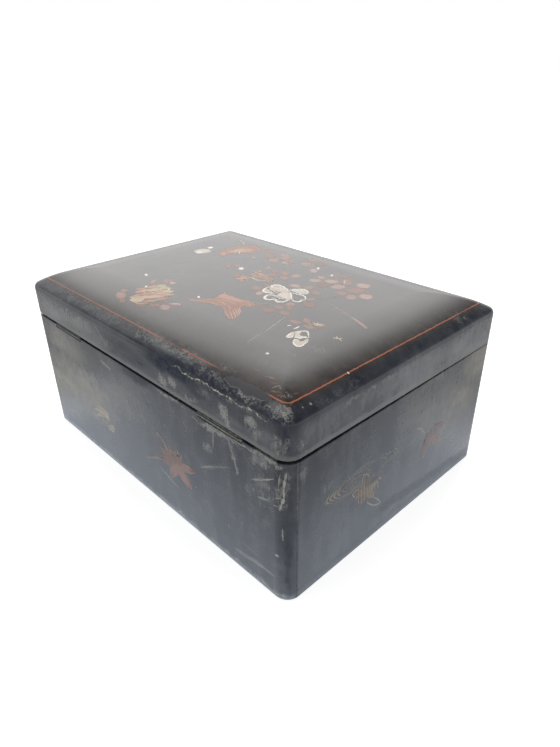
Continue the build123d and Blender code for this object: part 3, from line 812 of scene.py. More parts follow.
BAMBOO_DARK = (0.30, 0.19, 0.09, 1.0)
BAMBOO_LIGHT = (0.55, 0.41, 0.23, 1.0)


def bamboo_material():
    """Split bamboo with fine lengthwise fibres"""
    material, shader, position = begin_material("Bamboo Peg")
    fibres = noise(position * (3.0, 0.12, 3.0), 1.6, 4.0, 0.6)
    color = mixed(fade(fibres, 0.35, 0.65), BAMBOO_DARK, BAMBOO_LIGHT)
    end_material(shader, color, fibres * 0.2 + 0.5, fibres * 0.1)
    return material


def paint_material(name, colors, rubbed, faded, ground):
    """Ornament paint of two colours; tone and middle are kept in the mesh"""
    material, shader, position = begin_material(name)
    shader.inputs["Specular IOR Level"].default_value = 0.35 if faded == 0 else 0.42
    tone, middle = (
        Value(add("ShaderNodeAttribute", {}, material.node_tree, attribute_name=part).outputs["Fac"])
        for part in ("tone", "middle"))
    look = worn_paint(
        position, opaque(colors[0]), opaque(colors[1]), opaque(ground), tone, middle, rubbed, faded)
    end_material(shader, look["Color"], look["Roughness"], look["Height"])
    return material


# Painted dabs, made flat in millimetres and then laid on the box


PAINT_RISE = 0.6
DOME_RISE = 0.4
SUNK = 0.3


class Dabs:
    """A mesh that gathers petals and brush strokes, with heights in thicknesses of paint"""

    def __init__(self, seed):
        self.mesh = bmesh.new()
        self.tone = self.mesh.verts.layers.float.new("tone")
        self.middle = self.mesh.verts.layers.float.new("middle")
        self.draw = random.Random(seed)

    def petal(self, x, y, length, width, turn=0.0, point=0.0, low=0.0, tone=None, sides=14):
        """A rounded petal, narrower towards its tip where point is above 0"""
        first = len(self.mesh.verts)
        ring = bmesh.ops.create_circle(self.mesh, cap_ends=True, segments=sides, radius=0.5)["verts"]
        self.shape_ring(ring, x, y, length, width, turn, point, low)
        self.thicken([ring[0].link_faces[0]], min(length, width) * 0.2)
        self.mark(first, tone)

    def outline(self, x, y, length, width, turn=0.0, point=0.0, line=0.8, low=0.0, tone=None, sides=20):
        """The brushed outline of a petal, of uneven width"""
        first = len(self.mesh.verts)
        ring = bmesh.ops.create_circle(self.mesh, cap_ends=False, segments=sides, radius=0.5)["verts"]
        self.shape_ring(ring, x, y, length, width, turn, point, low)
        edges = list({edge for vert in ring for edge in vert.link_edges})
        grown = bmesh.ops.extrude_edge_only(self.mesh, edges=edges)["geom"]
        middle = Vector((x, y, low))
        for vert in grown:
            if isinstance(vert, bmesh.types.BMVert):
                inward = middle - vert.co
                step = min(line * self.draw.uniform(0.6, 1.5), inward.length * 0.6)
                vert.co += inward.normalized() * step
        faces = [face for face in grown if isinstance(face, bmesh.types.BMFace)]
        if not faces:
            faces = list({face for vert in ring for face in vert.link_faces})
        self.thicken(faces, 0.0)
        self.mark(first, tone)

    def shape_ring(self, ring, x, y, length, width, turn, point, low):
        for vert in ring:
            towards_tip = max(0.0, vert.co.x * 2)
            vert.co.y *= 1 - point * towards_tip
            vert.co.x *= self.draw.uniform(0.95, 1.05)
            vert.co.y *= self.draw.uniform(0.95, 1.05)
        place = Matrix.Translation((x, y, low)) @ Matrix.Rotation(math.radians(turn), 4, "Z")
        bmesh.ops.transform(self.mesh, matrix=place @ Matrix.Diagonal((length, width, 1, 1)), verts=ring)

    def stroke(self, points, width, low=0.0, tone=None, steps=5):
        """A brush stroke through the points, thin at both ends"""
        first = len(self.mesh.verts)
        path = smooth_path(points, steps)
        last = len(path) - 1
        strip = bmesh.ops.create_grid(self.mesh, x_segments=last, y_segments=1, size=0.5)["verts"]
        halves = [width / 2 * brush_swell(index / last) * self.draw.uniform(0.85, 1.15)
                  for index in range(last + 1)]
        for vert in strip:
            index = round((vert.co.x + 0.5) * last)
            ahead = path[min(index + 1, last)] - path[max(index - 1, 0)]
            half = halves[index] if vert.co.y > 0 else -halves[index]
            place = path[index] + Vector((-ahead.y, ahead.x)).normalized() * half
            vert.co = (place.x, place.y, low)
        self.thicken(list({face for vert in strip for face in vert.link_faces}), 0.0)
        self.mark(first, tone)

    def shape(self, points, low=0.0, tone=None, steps=4, rim=0.6):
        """A filled shape inside a smooth closed line through the points"""
        first = len(self.mesh.verts)
        count = len(points)
        around = [points[-1]] + points + [points[0], points[1]]
        path = smooth_path(around, steps)[steps:steps * (count + 1)]
        ring = bmesh.ops.create_circle(self.mesh, cap_ends=True, segments=len(path), radius=0.5)["verts"]
        for vert, place in zip(ring, path):
            vert.co = (place.x, place.y, low)
        self.thicken([ring[0].link_faces[0]], rim, domed=False)
        self.mark(first, tone)

    def thicken(self, faces, inset, domed=True):
        """Gives flat faces the thickness of paint, with a slightly higher middle"""
        grown = bmesh.ops.extrude_face_region(self.mesh, geom=faces, use_keep_orig=True)["geom"]
        top = [item for item in grown if isinstance(item, bmesh.types.BMVert)]
        bmesh.ops.translate(self.mesh, vec=(0, 0, PAINT_RISE), verts=top)
        caps = [item for item in grown if isinstance(item, bmesh.types.BMFace)]
        if inset > 0:
            bmesh.ops.inset_region(self.mesh, faces=caps, thickness=inset, depth=0.0, use_even_offset=True)
            inner = list({vert for face in caps for vert in face.verts})
            if domed:
                inner += bmesh.ops.poke(self.mesh, faces=caps)["verts"]
            else:
                bmesh.ops.triangulate(self.mesh, faces=caps)
            for vert in inner:
                vert.co.z += DOME_RISE
                vert[self.middle] = 1.0
        else:
            for vert in top:
                vert[self.middle] = 1.0

    def mark(self, first, tone):
        """Writes the dab's tone into its points"""
        if tone is None:
            tone = self.draw.uniform(0.2, 0.9)
        for vert in list(self.mesh.verts)[first:]:
            vert[self.tone] = tone

    def lay(self, name, surface, thickness, body, material):
        """Lays the dabs on a surface of the box and makes them a piece"""
        for vert in self.mesh.verts:
            vert.co = surface(vert.co.x, vert.co.y, (vert.co.z - SUNK) * thickness / MM)
        bmesh.ops.scale(self.mesh, vec=(MM, MM, MM), verts=self.mesh.verts)
        bmesh.ops.recalc_face_normals(self.mesh, faces=self.mesh.faces)
        mesh = bpy.data.meshes.new(name)
        self.mesh.to_mesh(mesh)
        self.mesh.free()
        piece = bpy.data.objects.new(name, mesh)
        bpy.context.scene.collection.objects.link(piece)
        mesh.materials.append(material)
        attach(piece, body)


def brush_swell(share):
    """How full a brush stroke is along its length"""
    return 0.25 + 0.75 * math.sin(math.pi * min(1.0, 0.12 + share * 0.88))


def smooth_path(points, steps):
    """Points on a smooth line through the given ones"""
    knots = [Vector(point) for point in points]
    if len(knots) == 2:
        return [knots[0].lerp(knots[1], index / steps) for index in range(steps + 1)]
    ends = [2 * knots[0] - knots[1]] + knots + [2 * knots[-1] - knots[-2]]
    path = []
    for index in range(len(knots) - 1):
        a, b, c, d = ends[index:index + 4]
        for step in range(steps):
            t = step / steps
            bend = (2 * a - 5 * b + 4 * c - d) * t * t + (3 * b - a - 3 * c + d) * t * t * t
            path.append(0.5 * (2 * b + (c - a) * t + bend))
    path.append(knots[-1])
    return path


def ruffled(points, reach):
    """A smooth line with small waves in it, like the edge of a crimped petal"""
    path = smooth_path(points, 4)
    wavy = [path[0]]
    for index in range(1, len(path) - 1):
        ahead = path[index + 1] - path[index - 1]
        side = Vector((-ahead.y, ahead.x)).normalized()
        wavy.append(path[index] + side * reach * math.sin(index * 2.1))
    return wavy + [path[-1]]


def lid_surface():
    """Drops points onto the top of the lid"""
    node = frame["nodes"]["lid_top"]
    verts = [vert.co for vert in node.data.vertices]
    faces = [tuple(face.vertices) for face in node.data.polygons]
    tree = BVHTree.FromPolygons(verts, faces)

    def surface(x, y, lift):
        hit = tree.ray_cast(Vector((x * MM, y * MM, 1.0)), Vector((0, 0, -1)))[0]
        if hit is None:
            raise RuntimeError(f"nothing of the lid under {x}, {y}")
        return Vector((x, y, hit.z / MM + lift))

    return surface


def back_surface(x, z, lift):
    return Vector((x, BACK + lift, z))


def front_surface(x, z, lift):
    return Vector((x, FRONT - lift, z))


def left_surface(y, z, lift):
    return Vector((LEFT - lift, y, z))


def right_surface(y, z, lift):
    return Vector((RIGHT + lift, y, z))


# The ornament on the lid: petals are (x, y, length, width, turn), and strokes have their points first

LEAF_GROWTH = 1.07
LEAVES = [
    (-87.4, 31.5, 7.6, 4.8, 8), (-76.3, 31.8, 7.4, 5, -4), (-80, 25.6, 7.4, 4.6, -30),
    (-90, 25.4, 6.5, 4.6, 20), (-51.6, 30.6, 9.4, 6.6, 12), (-62.6, 27, 8.4, 5.8, -8),
    (-52.8, 22.6, 8.4, 5.8, -12), (-54.8, 14, 6.6, 6, 60), (-58.6, 18.6, 6.4, 4.6, -30),
    (7.5, -44.3, 8, 6, 30), (8.2, -25.8, 6, 4, -40), (-63.4, 6, 10, 7.6, -10), (-58.5, -1.5, 6, 4.8, 70),
    (-26, 14.4, 7.4, 5.4, -50), (-17.4, 9.2, 9, 6.8, -25), (-52.4, -12.8, 9, 6, -20),
    (-33.4, -12.4, 9, 6.2, 10), (-42.4, -17.2, 8.2, 6.2, -60), (-74.6, -22.8, 9.4, 7.4, -35),
    (-65, -23.8, 8.6, 6.8, 0), (-80.8, -30.4, 10.6, 9, -15), (-69, -34.6, 12.8, 10.4, 40),
    (-66.4, -45.6, 11, 9.2, -10), (-55.6, -31.6, 9.8, 9.4, -60), (-45.4, -27.4, 8.4, 7.6, -50),
    (-35.8, -30.2, 8.8, 7.6, 30), (-45, -36.6, 10.6, 8, 12), (-34.4, -38, 8.4, 4.8, -20),
    (-54, -43, 12.8, 8, -35), (-16, -19, 8.8, 6.2, -30), (-5.8, -17.8, 8.4, 5.4, -25),
    (-19.2, -27.6, 8.6, 7.4, -50), (-9.4, -26.4, 8.6, 5.8, -40), (-1.8, -23.6, 7.6, 5.2, -20),
    (-20.6, -45, 9, 5.6, -40), (-6.4, -52.4, 9.2, 8, -50), (-13.8, -60.6, 9.2, 8.8, -20),
    (-2.6, -63.2, 9, 9, 20), (7.6, -46.8, 10.4, 8.4, -30), (18.8, -42, 10.4, 8.6, -40),
    (16.6, -52.2, 10.8, 8, -45), (30, -48, 13.4, 9.6, -30), (21, -56.6, 10.2, 7, -20), (0, 72.4, 9, 6.2, 0),
    (-1.6, 65.4, 8.4, 3.4, 30), (42.8, 79.2, 11, 6.4, -10), (35.6, 82.6, 7.4, 3.2, -10),
    (38.4, 43.8, 8.4, 5.4, -60), (32.4, 44, 6.4, 4.4, -30), (8.6, 74.6, 8.4, 3.6, 15),
    (18.2, 79.6, 9, 3.6, 8), (44.4, 51.4, 8, 4.4, -50), (46.4, 74.4, 6.6, 4.4, -10),
    (33.1, -7.9, 6.4, 4.6, -45), (28.6, -13.4, 6.6, 4.6, -40), (35, -35.6, 5.4, 3.4, -30),
]

STEMS = [
    ([(-44.3, -45.6), (-47, -51), (-49, -57)], 1.8, 0.3),
    ([(-48.6, -46.4), (-46, -52), (-43, -58)], 1.6, 0.3),
    ([(-52.6, -47.4), (-51.4, -52), (-51.5, -57)], 1.6, 0.3),
    ([(-42, -43), (-40, -51), (-37, -58)], 1.6, 0.3), ([(-111.2, 7.6), (-104, 5.4), (-95, 2.4)], 2.4, 0.7),
    ([(-95, 2.4), (-84, -1), (-71, -4.6)], 0.9, 0.6),
    ([(-58, 2), (-64, -8), (-68, -18), (-68, -28)], 0.7, 0),
    ([(-30, -8), (-22, -16), (-12, -22)], 0.7, 0.1),
    ([(-44, -14), (-46, -22), (-50, -30), (-54, -40)], 0.7, 0),
    ([(-10, -26), (2, -36), (12, -44), (24, -50)], 0.7, 0.1), ([(0, 68), (10, 67), (18, 66)], 0.8, 0.3),
]


def lid_leaves(dabs):
    """The leaves and stems all over the lid"""
    for x, y, length, width, turn in LEAVES:
        dabs.petal(x, y, length * LEAF_GROWTH, width * LEAF_GROWTH, turn, 0.25)
    for points, width, tone in STEMS:
        dabs.stroke(points, width, tone=tone)


SPRAY_PETALS = [
    (33.5, 66.2, 13, 5.4, 62, 0.7), (37, 60, 9, 4.4, 70, 0.5), (30.8, 58, 13, 8.4, 62, 0.25),
    (22.6, 57.6, 13, 7.4, 34, 0.3), (17, 60.6, 12, 6.2, 44, 0.35), (19.6, 67.4, 15, 6.2, 50, 0.9),
    (24.6, 72.6, 12, 5.6, 52, 0.85), (27.4, 67.8, 11, 5.6, 52, 0.55), (26, 77.2, 11, 4.4, 10, 0.95),
    (31.6, 74.2, 9, 4.2, 62, 0.6), (16.6, 73.4, 10, 4.2, 42, 0.4), (12.4, 66.4, 9, 4.6, 48, 0.4),
    (38.4, 66, 7, 3.6, 54, 0.5), (22, 62.6, 11, 5, 46, 0.6),
]

ORANGE_FLOWER = [
    (11.8, 2.2, 8, 4.2, -42, 0.2), (5.8, 0.6, 8, 5.2, -30, 0.42), (0.9, 6.5, 7, 3.8, -40, 0.25),
    (4.9, 5.2, 6.8, 3.8, 46, 0.38), (1.4, 1.4, 5.6, 3.4, 30, 0.3), (7.1, -16.6, 6, 3.4, -50, 0.5),
    (-18.8, 0.7, 6, 3.4, -30, 0.1),
]

ORANGE_SWIRL = [
    ([(5, -5.4), (6.2, -9.4), (4.6, -13), (-1.6, -13.6), (-8, -11.8), (-14.8, -9), (-16, -6.4)], 2.3, 0.34),
    ([(3, -5), (3.6, -9), (0.8, -11.2), (-5, -10.4), (-10.4, -8.2), (-14.4, -5.8)], 2.2, 0.48),
    ([(1.2, -3), (0.8, -7), (-2.4, -8.6), (-7.4, -7), (-13.2, -4.6)], 2, 0.3),
    ([(-0.6, -3.4), (-2.6, -6.2), (-6.6, -5.8)], 1.4, 0.44),
    ([(-16.4, -7.4), (-12.6, -10.4), (-7.2, -13)], 1, 0.6),
]


def rust_spray(dabs):
    """Rust petals of the full flower near the back, and the orange flower beyond the white one"""
    for x, y, length, width, turn, tone in SPRAY_PETALS + ORANGE_FLOWER:
        dabs.petal(x, y, length, width, turn, 0.1, low=dabs.draw.uniform(0.0, 0.4), tone=tone)
    for points, width, tone in ORANGE_SWIRL:
        dabs.stroke(points, width, low=0.15, tone=tone)
    dabs.stroke([(-1.7, -2.7), (-5.3, -1.8), (-8.6, -2.2), (-10.6, -4.1)], 1.0, low=0.3, tone=1.0)


SPRAY_CREAM = [
    (32.4, 54, 9, 4.6, 64), (27, 53.4, 9, 4.2, 38), (20.6, 55.8, 9, 4, 34), (29.2, 60.6, 10, 4, 56),
    (14.6, 58.8, 7, 3.2, 40), (27.8, 75.8, 8, 2.6, 14), (23, 75.6, 5, 2.2, 40),
]

SPRAY_GOLD = [
    ([(31, 79.4), (27, 78.6), (21, 76.2)], 1.5), ([(33, 77.4), (28, 76.4), (22, 74.4)], 1.1),
    ([(31.4, 74.4), (27.6, 73.2), (24.6, 69.6)], 1.2), ([(27, 79.8), (20, 78.6), (13, 75.4)], 1),
    ([(25.4, 70.4), (20.6, 69.4), (15.6, 66.4)], 1), ([(23.6, 67.6), (17.6, 64.6), (12.6, 60.6)], 1.1),
    ([(26, 65), (20, 61.4), (14.6, 57.4)], 1.2), ([(28, 62.8), (22, 59), (17, 55.6)], 1.2),
    ([(30.4, 61.4), (25, 57), (20.4, 53.6)], 1.2), ([(32.4, 59.8), (27.6, 55), (23, 52)], 1.1),
    ([(35, 58.4), (30.8, 53.4), (27, 50)], 1.2), ([(37.4, 57), (34, 51.4), (31, 47.6)], 1),
    ([(34, 66), (29, 64.4), (24.6, 63.6)], 1), ([(37.6, 63), (35, 60), (30, 59)], 1),
    ([(29, 68.4), (33, 67), (37, 64)], 0.9), ([(19, 73.6), (14, 71.4), (9.4, 67.6)], 0.9),
]

GOLD_STROKES = [
    ([(-112, 31), (-109, 30.4), (-106, 32.4)], 0.7), ([(-110.4, 28.4), (-109, 30.6), (-107.6, 33.4)], 0.7),
    ([(-108.6, 30.6), (-106.6, 29.4)], 0.6), ([(-54.6, -40), (-52, -43), (-50, -46)], 0.8),
    ([(-59, -34), (-56.4, -36.6)], 0.6), ([(7, 5.6), (4, 2), (0, -0.6)], 0.8),
    ([(3, -1.6), (-3, -2.4), (-8, -3.4)], 0.8), ([(9.4, -12), (4, -12.6), (-2, -11)], 0.8),
    ([(6.4, -6), (1.4, -6.6), (-5, -9.4)], 0.7), ([(-86, 27), (-88.6, 25), (-91.4, 25.6)], 0.8),
    ([(-86.4, 23.6), (-88.6, 25), (-89.4, 28)], 0.8), ([(-84.4, 25.4), (-88.6, 25), (-92.6, 23)], 0.7),
    ([(-90.6, 22.4), (-88.6, 25), (-86, 28.4)], 0.6), ([(-83.6, 27.8), (-85.4, 28.6), (-87.6, 28.2)], 0.6),
    ([(50, -34), (55, -38), (58, -46)], 1), ([(56, -33), (60, -40), (61, -48)], 0.8),
]


def gold_spray(dabs):
    """Gold strokes over the full flower near the back, and on the small leaves"""
    for points, width in SPRAY_GOLD:
        dabs.stroke(points, width, low=0.9)
    for points, width in GOLD_STROKES:
        dabs.stroke(points, width, low=0.9, tone=0.9)
    for x, y, length, width, turn in SPRAY_CREAM:
        dabs.petal(x, y, length, width, turn, 0.2, low=0.5)
    dabs.stroke(
        [(0.4, -3.4), (-3.1, -1.7), (-7.8, -2.2), (-11.6, -4.4), (-15.0, -5.4)], 0.9, low=0.5, tone=1.0)


BIRD_BODY = [
    (1.8, 54.7), (-5.1, 55.1), (-12.3, 51.4), (-18.5, 48.8), (-25.1, 47.2), (-31, 42.4), (-34.7, 37.9),
    (-39.4, 35), (-40, 32.2), (-38.2, 30), (-35, 29.2), (-30.4, 29.4), (-25.4, 30.4), (-19, 31.2),
    (-12.4, 31.4), (-9.6, 32.6), (-9.8, 36), (-11.4, 39.6), (-12.8, 42.4), (-8.1, 46.9), (-5.1, 50.8),
    (-1.4, 53.4),
]

BIRD_WING = [
    (-24, 46.8), (-29.6, 48.8), (-34.8, 51), (-37.4, 50.4), (-38.8, 47.6), (-38.4, 44), (-37.4, 40.6),
    (-35, 37.4), (-29, 39.6),
]

BIRD_BACK = [
    (-10.2, 32.6), (-9.9, 35.6), (-12.6, 38.6), (-19.6, 37.4), (-27, 35.4), (-30.4, 32.6), (-25.6, 31),
    (-17.6, 31.8),
]

WING_ROOTS = ((-33, 49.4), (-34.4, 40))

WING_TIPS = [
    (-42.8, 56), (-45, 57), (-46.8, 56.8), (-47.4, 54.6), (-47.2, 52.2), (-46, 49.6), (-44.2, 47),
    (-41.8, 44.2),
]


def near_bird(dabs):
    """The flying bird with a hanging, fanned wing"""
    dabs.shape(BIRD_BODY, tone=0.22, rim=0.5)
    dabs.shape(BIRD_WING, low=0.1, tone=0.12, rim=0.5)
    first, last = (Vector(root) for root in WING_ROOTS)
    for index, tip in enumerate(WING_TIPS):
        root = first.lerp(last, index / (len(WING_TIPS) - 1))
        bend = root.lerp(Vector(tip), 0.55) + Vector((0.3, 0.3))
        dabs.stroke([root, bend, tip], 1.9 - 0.06 * index, low=0.2, tone=0.10 + 0.03 * index)
    dabs.shape(BIRD_BACK, low=0.4, tone=0.62, rim=0.8)
    dabs.stroke([(-38.0, 32.8), (-39.4, 29.0), (-42.0, 26.0), (-45.4, 22.4)], 1.5, low=0.2, tone=0.5)
    dabs.stroke([(-12.0, 42.6), (-9.4, 46.0), (-6.0, 49.6)], 0.8, low=0.5, tone=0.55)
    dabs.stroke([(-14.6, 49.2), (-8.6, 52.4), (-1.4, 54.4)], 0.7, low=0.5, tone=0.65)
    dabs.stroke([(-10.6, 32.6), (-9.4, 31.0), (-8.8, 29.8)], 0.7, low=0.2, tone=0.8)


FEATHER_LINES = [
    [(-36.4, 29.6), (-31, 29.6), (-25.6, 30.6)], [(-24, 33.4), (-19, 34.6), (-14, 36.8), (-12.6, 40.4)],
    [(-12.2, 32), (-16, 31.6), (-20, 31.6)], [(-38.6, 33.4), (-34, 32), (-29.4, 33.2)],
    [(-27, 44.6), (-21.6, 42.6), (-15, 42.6)], [(-34, 46.6), (-30.6, 44.4), (-27, 43.6)],
    [(-45.6, 57), (-39.6, 53.8), (-33, 50.2), (-29, 48)], [(-47, 55.6), (-40.8, 51.6), (-34, 47.8)],
    [(-47.2, 53.2), (-41, 49.2), (-34.4, 45.6)], [(-46.4, 50.8), (-40.6, 47), (-34.6, 43.6)],
    [(-45, 48.4), (-39.8, 44.8), (-34.8, 42)], [(-42.8, 45.8), (-38.4, 42.6), (-35.2, 40.4)],
    [(-24.6, 47.6), (-19, 47.8), (-14, 49.2)], [(-30, 38.6), (-25, 38.2), (-20, 39.2), (-14, 41)],
]


def bird_lines(dabs):
    """Fine pale lines between the feathers and along the body of the near bird"""
    for points in FEATHER_LINES:
        dabs.stroke(points, 0.45, low=0.8, tone=0.55)


FAR_BIRD_BODY = [
    (59.6, -20.6), (54.4, -20.2), (55.9, -27.3), (52.4, -34.8), (46.8, -40.8), (45.6, -47.4), (49, -53.4),
    (54, -58), (59, -58.4), (64.7, -51), (69.4, -42.9), (68.4, -34.4), (66.8, -27.6), (63.4, -22.4),
]

FAR_BIRD_BREAST = [
    (58.4, -30), (54.8, -35), (49.2, -41.4), (49, -48.4), (54.4, -50.4), (60.4, -44.4), (63, -36.6),
    (62.4, -30.6),
]


def far_bird(dabs):
    """The second bird, near the far end: a soft body with a long thin tail"""
    dabs.shape(FAR_BIRD_BODY, tone=0.20, rim=1.4)
    dabs.shape(FAR_BIRD_BREAST, low=0.3, tone=0.60, rim=1.6)
    dabs.petal(60.0, -25.8, 7.4, 5.0, -50, 0.2, low=0.3, tone=0.65)
    dabs.petal(59.9, -28.3, 2.6, 1.8, -40, low=0.7, tone=0.0, sides=10)
    dabs.stroke([(51.0, -55.0), (45.0, -61.0), (42.0, -68.0), (40.6, -77.0)], 1.2, tone=0.5)
    dabs.stroke([(48.0, -48.0), (43.0, -55.0), (41.0, -62.0)], 1.6, tone=0.3)
    dabs.stroke([(67.6, -55.0), (75.0, -58.4), (83.0, -61.4)], 0.7, tone=0.9)
    dabs.stroke([(66.0, -26.0), (69.0, -24.6), (72.0, -25.2)], 0.8, tone=0.4)


WHITE_PETALS = [
    ([(-21.4, -1.2), (-22.9, -5), (-27.9, -5.6), (-34.3, -3.6), (-38.4, -0.6), (-36, 3.2), (-30.4, 4.2),
      (-25.4, 4.2), (-22.8, 2.2)], 0.4),
    ([(-24.1, 9.4), (-22.6, 7), (-25.4, 5.4), (-29, 7), (-34.4, 7.8), (-33, 8.8), (-29.7, 10.2),
      (-26.6, 10.8)], 0.4),
    ([(-36, 6.4), (-36.6, 1.6), (-40.6, -0.6), (-44.4, 2), (-48.6, 6.4), (-46, 8.6), (-41.6, 9),
      (-38.2, 9.4)], 0.62),
    ([(-37.2, -4), (-38.6, -7.4), (-41.8, -10.6), (-45.2, -11), (-48.2, -8.8), (-49.4, -5.6), (-46, -4.2),
      (-41.4, -3.6)], 0.5),
]

OPEN_PETALS = [
    ([(-33.4, 11.6), (-36.6, 10.4), (-41.4, 11.2)], 2.4), ([(-41.4, 11.4), (-41, 15.4), (-38, 18)], 2.2),
    ([(-33.2, 13.6), (-34.4, 17.4), (-37.6, 18)], 2), ([(-42.8, 15.8), (-42, 12.8), (-43, 9.6)], 2.4),
    ([(-43.6, 9.2), (-47.4, 8.8), (-48.2, 12)], 1.8), ([(-44, 16), (-47.4, 14.6)], 1.6),
]

WHITE_STREAKS = [
    [(-25.6, -3), (-30.4, -3.2), (-35.2, -1.6)], [(-27, -4.4), (-31, -4.4), (-34.6, -2.8)],
    [(-25.4, 1.6), (-30.6, 1.4), (-35.6, 1.8)], [(-24.6, -0.6), (-29.4, -1.2), (-34, -0.6)],
    [(-41.6, 3), (-40.4, 6), (-39.6, 8.4)], [(-44.4, 4.4), (-42.4, 6.4), (-41, 8.4)],
    [(-39, 1.4), (-38.4, 5.4)], [(-40, -6.4), (-43, -7), (-46.8, -6.6)], [(-41.4, -8.6), (-44.4, -9.4)],
    [(-41.6, -5), (-45.8, -5.4)],
]

WHITE_EDGES = [
    ([(-24.6, 0.6), (-21.6, -1.2), (-22.9, -5), (-27.9, -5.6), (-34.3, -3.6), (-39, -1)], 1.7),
    ([(-25.2, 0.2), (-30, -0.8), (-35, 0.4)], 0.8), ([(-27.4, -3), (-32, -2.4), (-37, -0.6)], 0.6),
    ([(-33, 8.4), (-28.6, 10.6), (-25.2, 10.2), (-22.7, 7), (-22, 3.4), (-21, 0.4)], 1.7),
    ([(-25.4, 4.6), (-30.4, 5.2), (-34.6, 5.8), (-38.2, 5.4)], 0.7), ([(-29, 7.4), (-33.4, 7.6)], 0.6),
    ([(-42, 14.4), (-40, 17.8), (-36.6, 19), (-33.6, 16.6), (-32.6, 13), (-34.4, 10.6), (-38, 10.2)], 1.7),
    ([(-37.4, 14.6), (-39.6, 12.8)], 0.6),
    ([(-41.8, 14.8), (-45.4, 17), (-48.2, 14.8), (-48.9, 11.2), (-48.6, 7.6)], 1.7),
    ([(-40.4, 12.2), (-43.8, 10.8), (-46.8, 10.6)], 0.8), ([(-38.4, 9.6), (-42, 8.8), (-45.8, 8.6)], 0.7),
    ([(-39.2, -1.6), (-42.4, 0.8), (-46, 4), (-49.4, 7.2)], 1.2),
    ([(-36.6, -3.2), (-38, -7.2), (-41.6, -10.8), (-45, -11.4), (-48.6, -9.2), (-50, -5.6)], 1.6),
    ([(-49.4, -5.6), (-46.4, -4.2), (-41.4, -4.2), (-38, -3.4)], 0.9),
    ([(-40, -6), (-43.4, -8.2), (-46.6, -8)], 0.7),
    ([(-41.4, -1.2), (-44.6, -1.8), (-47.8, -2.6), (-51.4, -2.6), (-54.8, -0.2), (-56.4, 2.5)], 1.4),
    ([(-56.4, 2), (-54.8, 3.8), (-56, 6), (-54.8, 8.2), (-52, 8.4), (-49, 6.8)], 1.5),
]


def white_flower(dabs):
    """The large open flower in the middle: thin petals with brushed white edges round a cream heart"""
    for points, tone in WHITE_PETALS:
        dabs.shape(points, low=0.1, tone=tone, rim=0.5)
    for points, width in OPEN_PETALS:
        dabs.stroke(points, width, low=0.1, tone=0.40)
    for points in WHITE_STREAKS:
        dabs.stroke(points, 0.8, low=0.4, tone=0.0)
    for points, width in WHITE_EDGES:
        dabs.stroke(ruffled(points, 0.34), width * 0.78, low=0.6, tone=0.95, steps=2)


BUD_PETALS = [
    ([(-87.3, 50.4), (-86.4, 46.7), (-86, 42.6), (-86.5, 41.4), (-88, 44.2), (-90.6, 48.4),
      (-88.7, 51)], 0.6),
    ([(-90.6, 47), (-88.4, 44.2), (-86.9, 41.6), (-87.6, 39.2), (-89.4, 40.2), (-90.6, 42.8),
      (-92.2, 43.4), (-93.9, 42.8), (-95.6, 42.2), (-96.6, 43.6), (-94.9, 45.2), (-94.2, 46.7),
      (-92.2, 47.8)], 0.6),
    ([(-94.8, 52.5), (-93.6, 50), (-94.4, 48.8), (-96.2, 49.2), (-98, 48), (-97.6, 45.4), (-98.4, 43.6),
      (-100, 45.6), (-100.9, 48.4), (-101.6, 51.6), (-101.2, 54), (-99, 54.8), (-96.4, 53.6)], 0.52),
]

BUD_EDGES = [
    ([(-86.9, 42.1), (-87.4, 40.3), (-88.8, 38.3), (-90.3, 36.9), (-92.1, 37.4), (-94.4, 39.5),
      (-96.9, 42)], 1.3),
    ([(-91.4, 48), (-92.8, 46.6), (-94.3, 46.5), (-94.9, 44.2), (-96.4, 43.2), (-97.6, 42)], 1.2),
    ([(-94.6, 52.2), (-96.5, 53.7), (-98.8, 54.6), (-100.8, 54.4), (-101.6, 52.4), (-100.9, 49.2),
      (-100.4, 46.4)], 1.3), ([(-94.4, 51.7), (-93.5, 49.7), (-94.7, 48.9), (-96.3, 49.3)], 1.1),
    ([(-87.3, 50.4), (-86.2, 46.6), (-85.8, 43)], 1.2), ([(-88.4, 50.8), (-90, 48.8), (-89.2, 46.2)], 0.9),
    ([(-82.5, 39.6), (-83.1, 38.2), (-82.9, 36.3), (-82.4, 34.1)], 1.2),
    ([(-77, 39.2), (-77.7, 38), (-78.4, 37)], 1.2),
]

WHITE_DOTS = [
    (21.7, -10.9, 6.2, 4.4, -38), (-94, 71.3, 2.4, 1.8, 0), (-2.6, 47.4, 4, 2, -35),
    (-19.6, -51.4, 5.6, 2.2, -58), (-37, -46.8, 4.2, 2.2, -50), (60.4, 47.2, 5.4, 2.4, -25),
    (-130.8, 47.6, 1.5, 1.3, 0), (23.4, 53.2, 3.4, 1.8, -35), (39.2, 61, 3.6, 2, -35),
]


def white_buds(dabs):
    """The white bud near the left end, the cream bud at the far end, and the small white dots"""
    for points, tone in BUD_PETALS:
        dabs.shape(points, tone=tone, rim=0.4)
    for points, width in BUD_EDGES:
        dabs.stroke(ruffled(points, 0.20), width * 0.85, low=0.5, tone=0.95, steps=2)
    dabs.petal(78.0, -18.0, 13.4, 14.0, -42, tone=0.58)
    dabs.petal(77.2, -14.4, 7.4, 7.0, -40, low=0.3, tone=0.80)
    dabs.petal(81.2, -28.6, 6.0, 5.0, -44, low=0.1, tone=0.95)
    for x, y, length, width, turn in WHITE_DOTS:
        dabs.petal(x, y, length, width, turn, tone=0.85, sides=10)


# The ornament on the walls


MAPLE_LOBES = ((0, 1.0), (42, 0.92), (-42, 0.92), (88, 0.72), (-88, 0.72), (135, 0.42), (-135, 0.42))


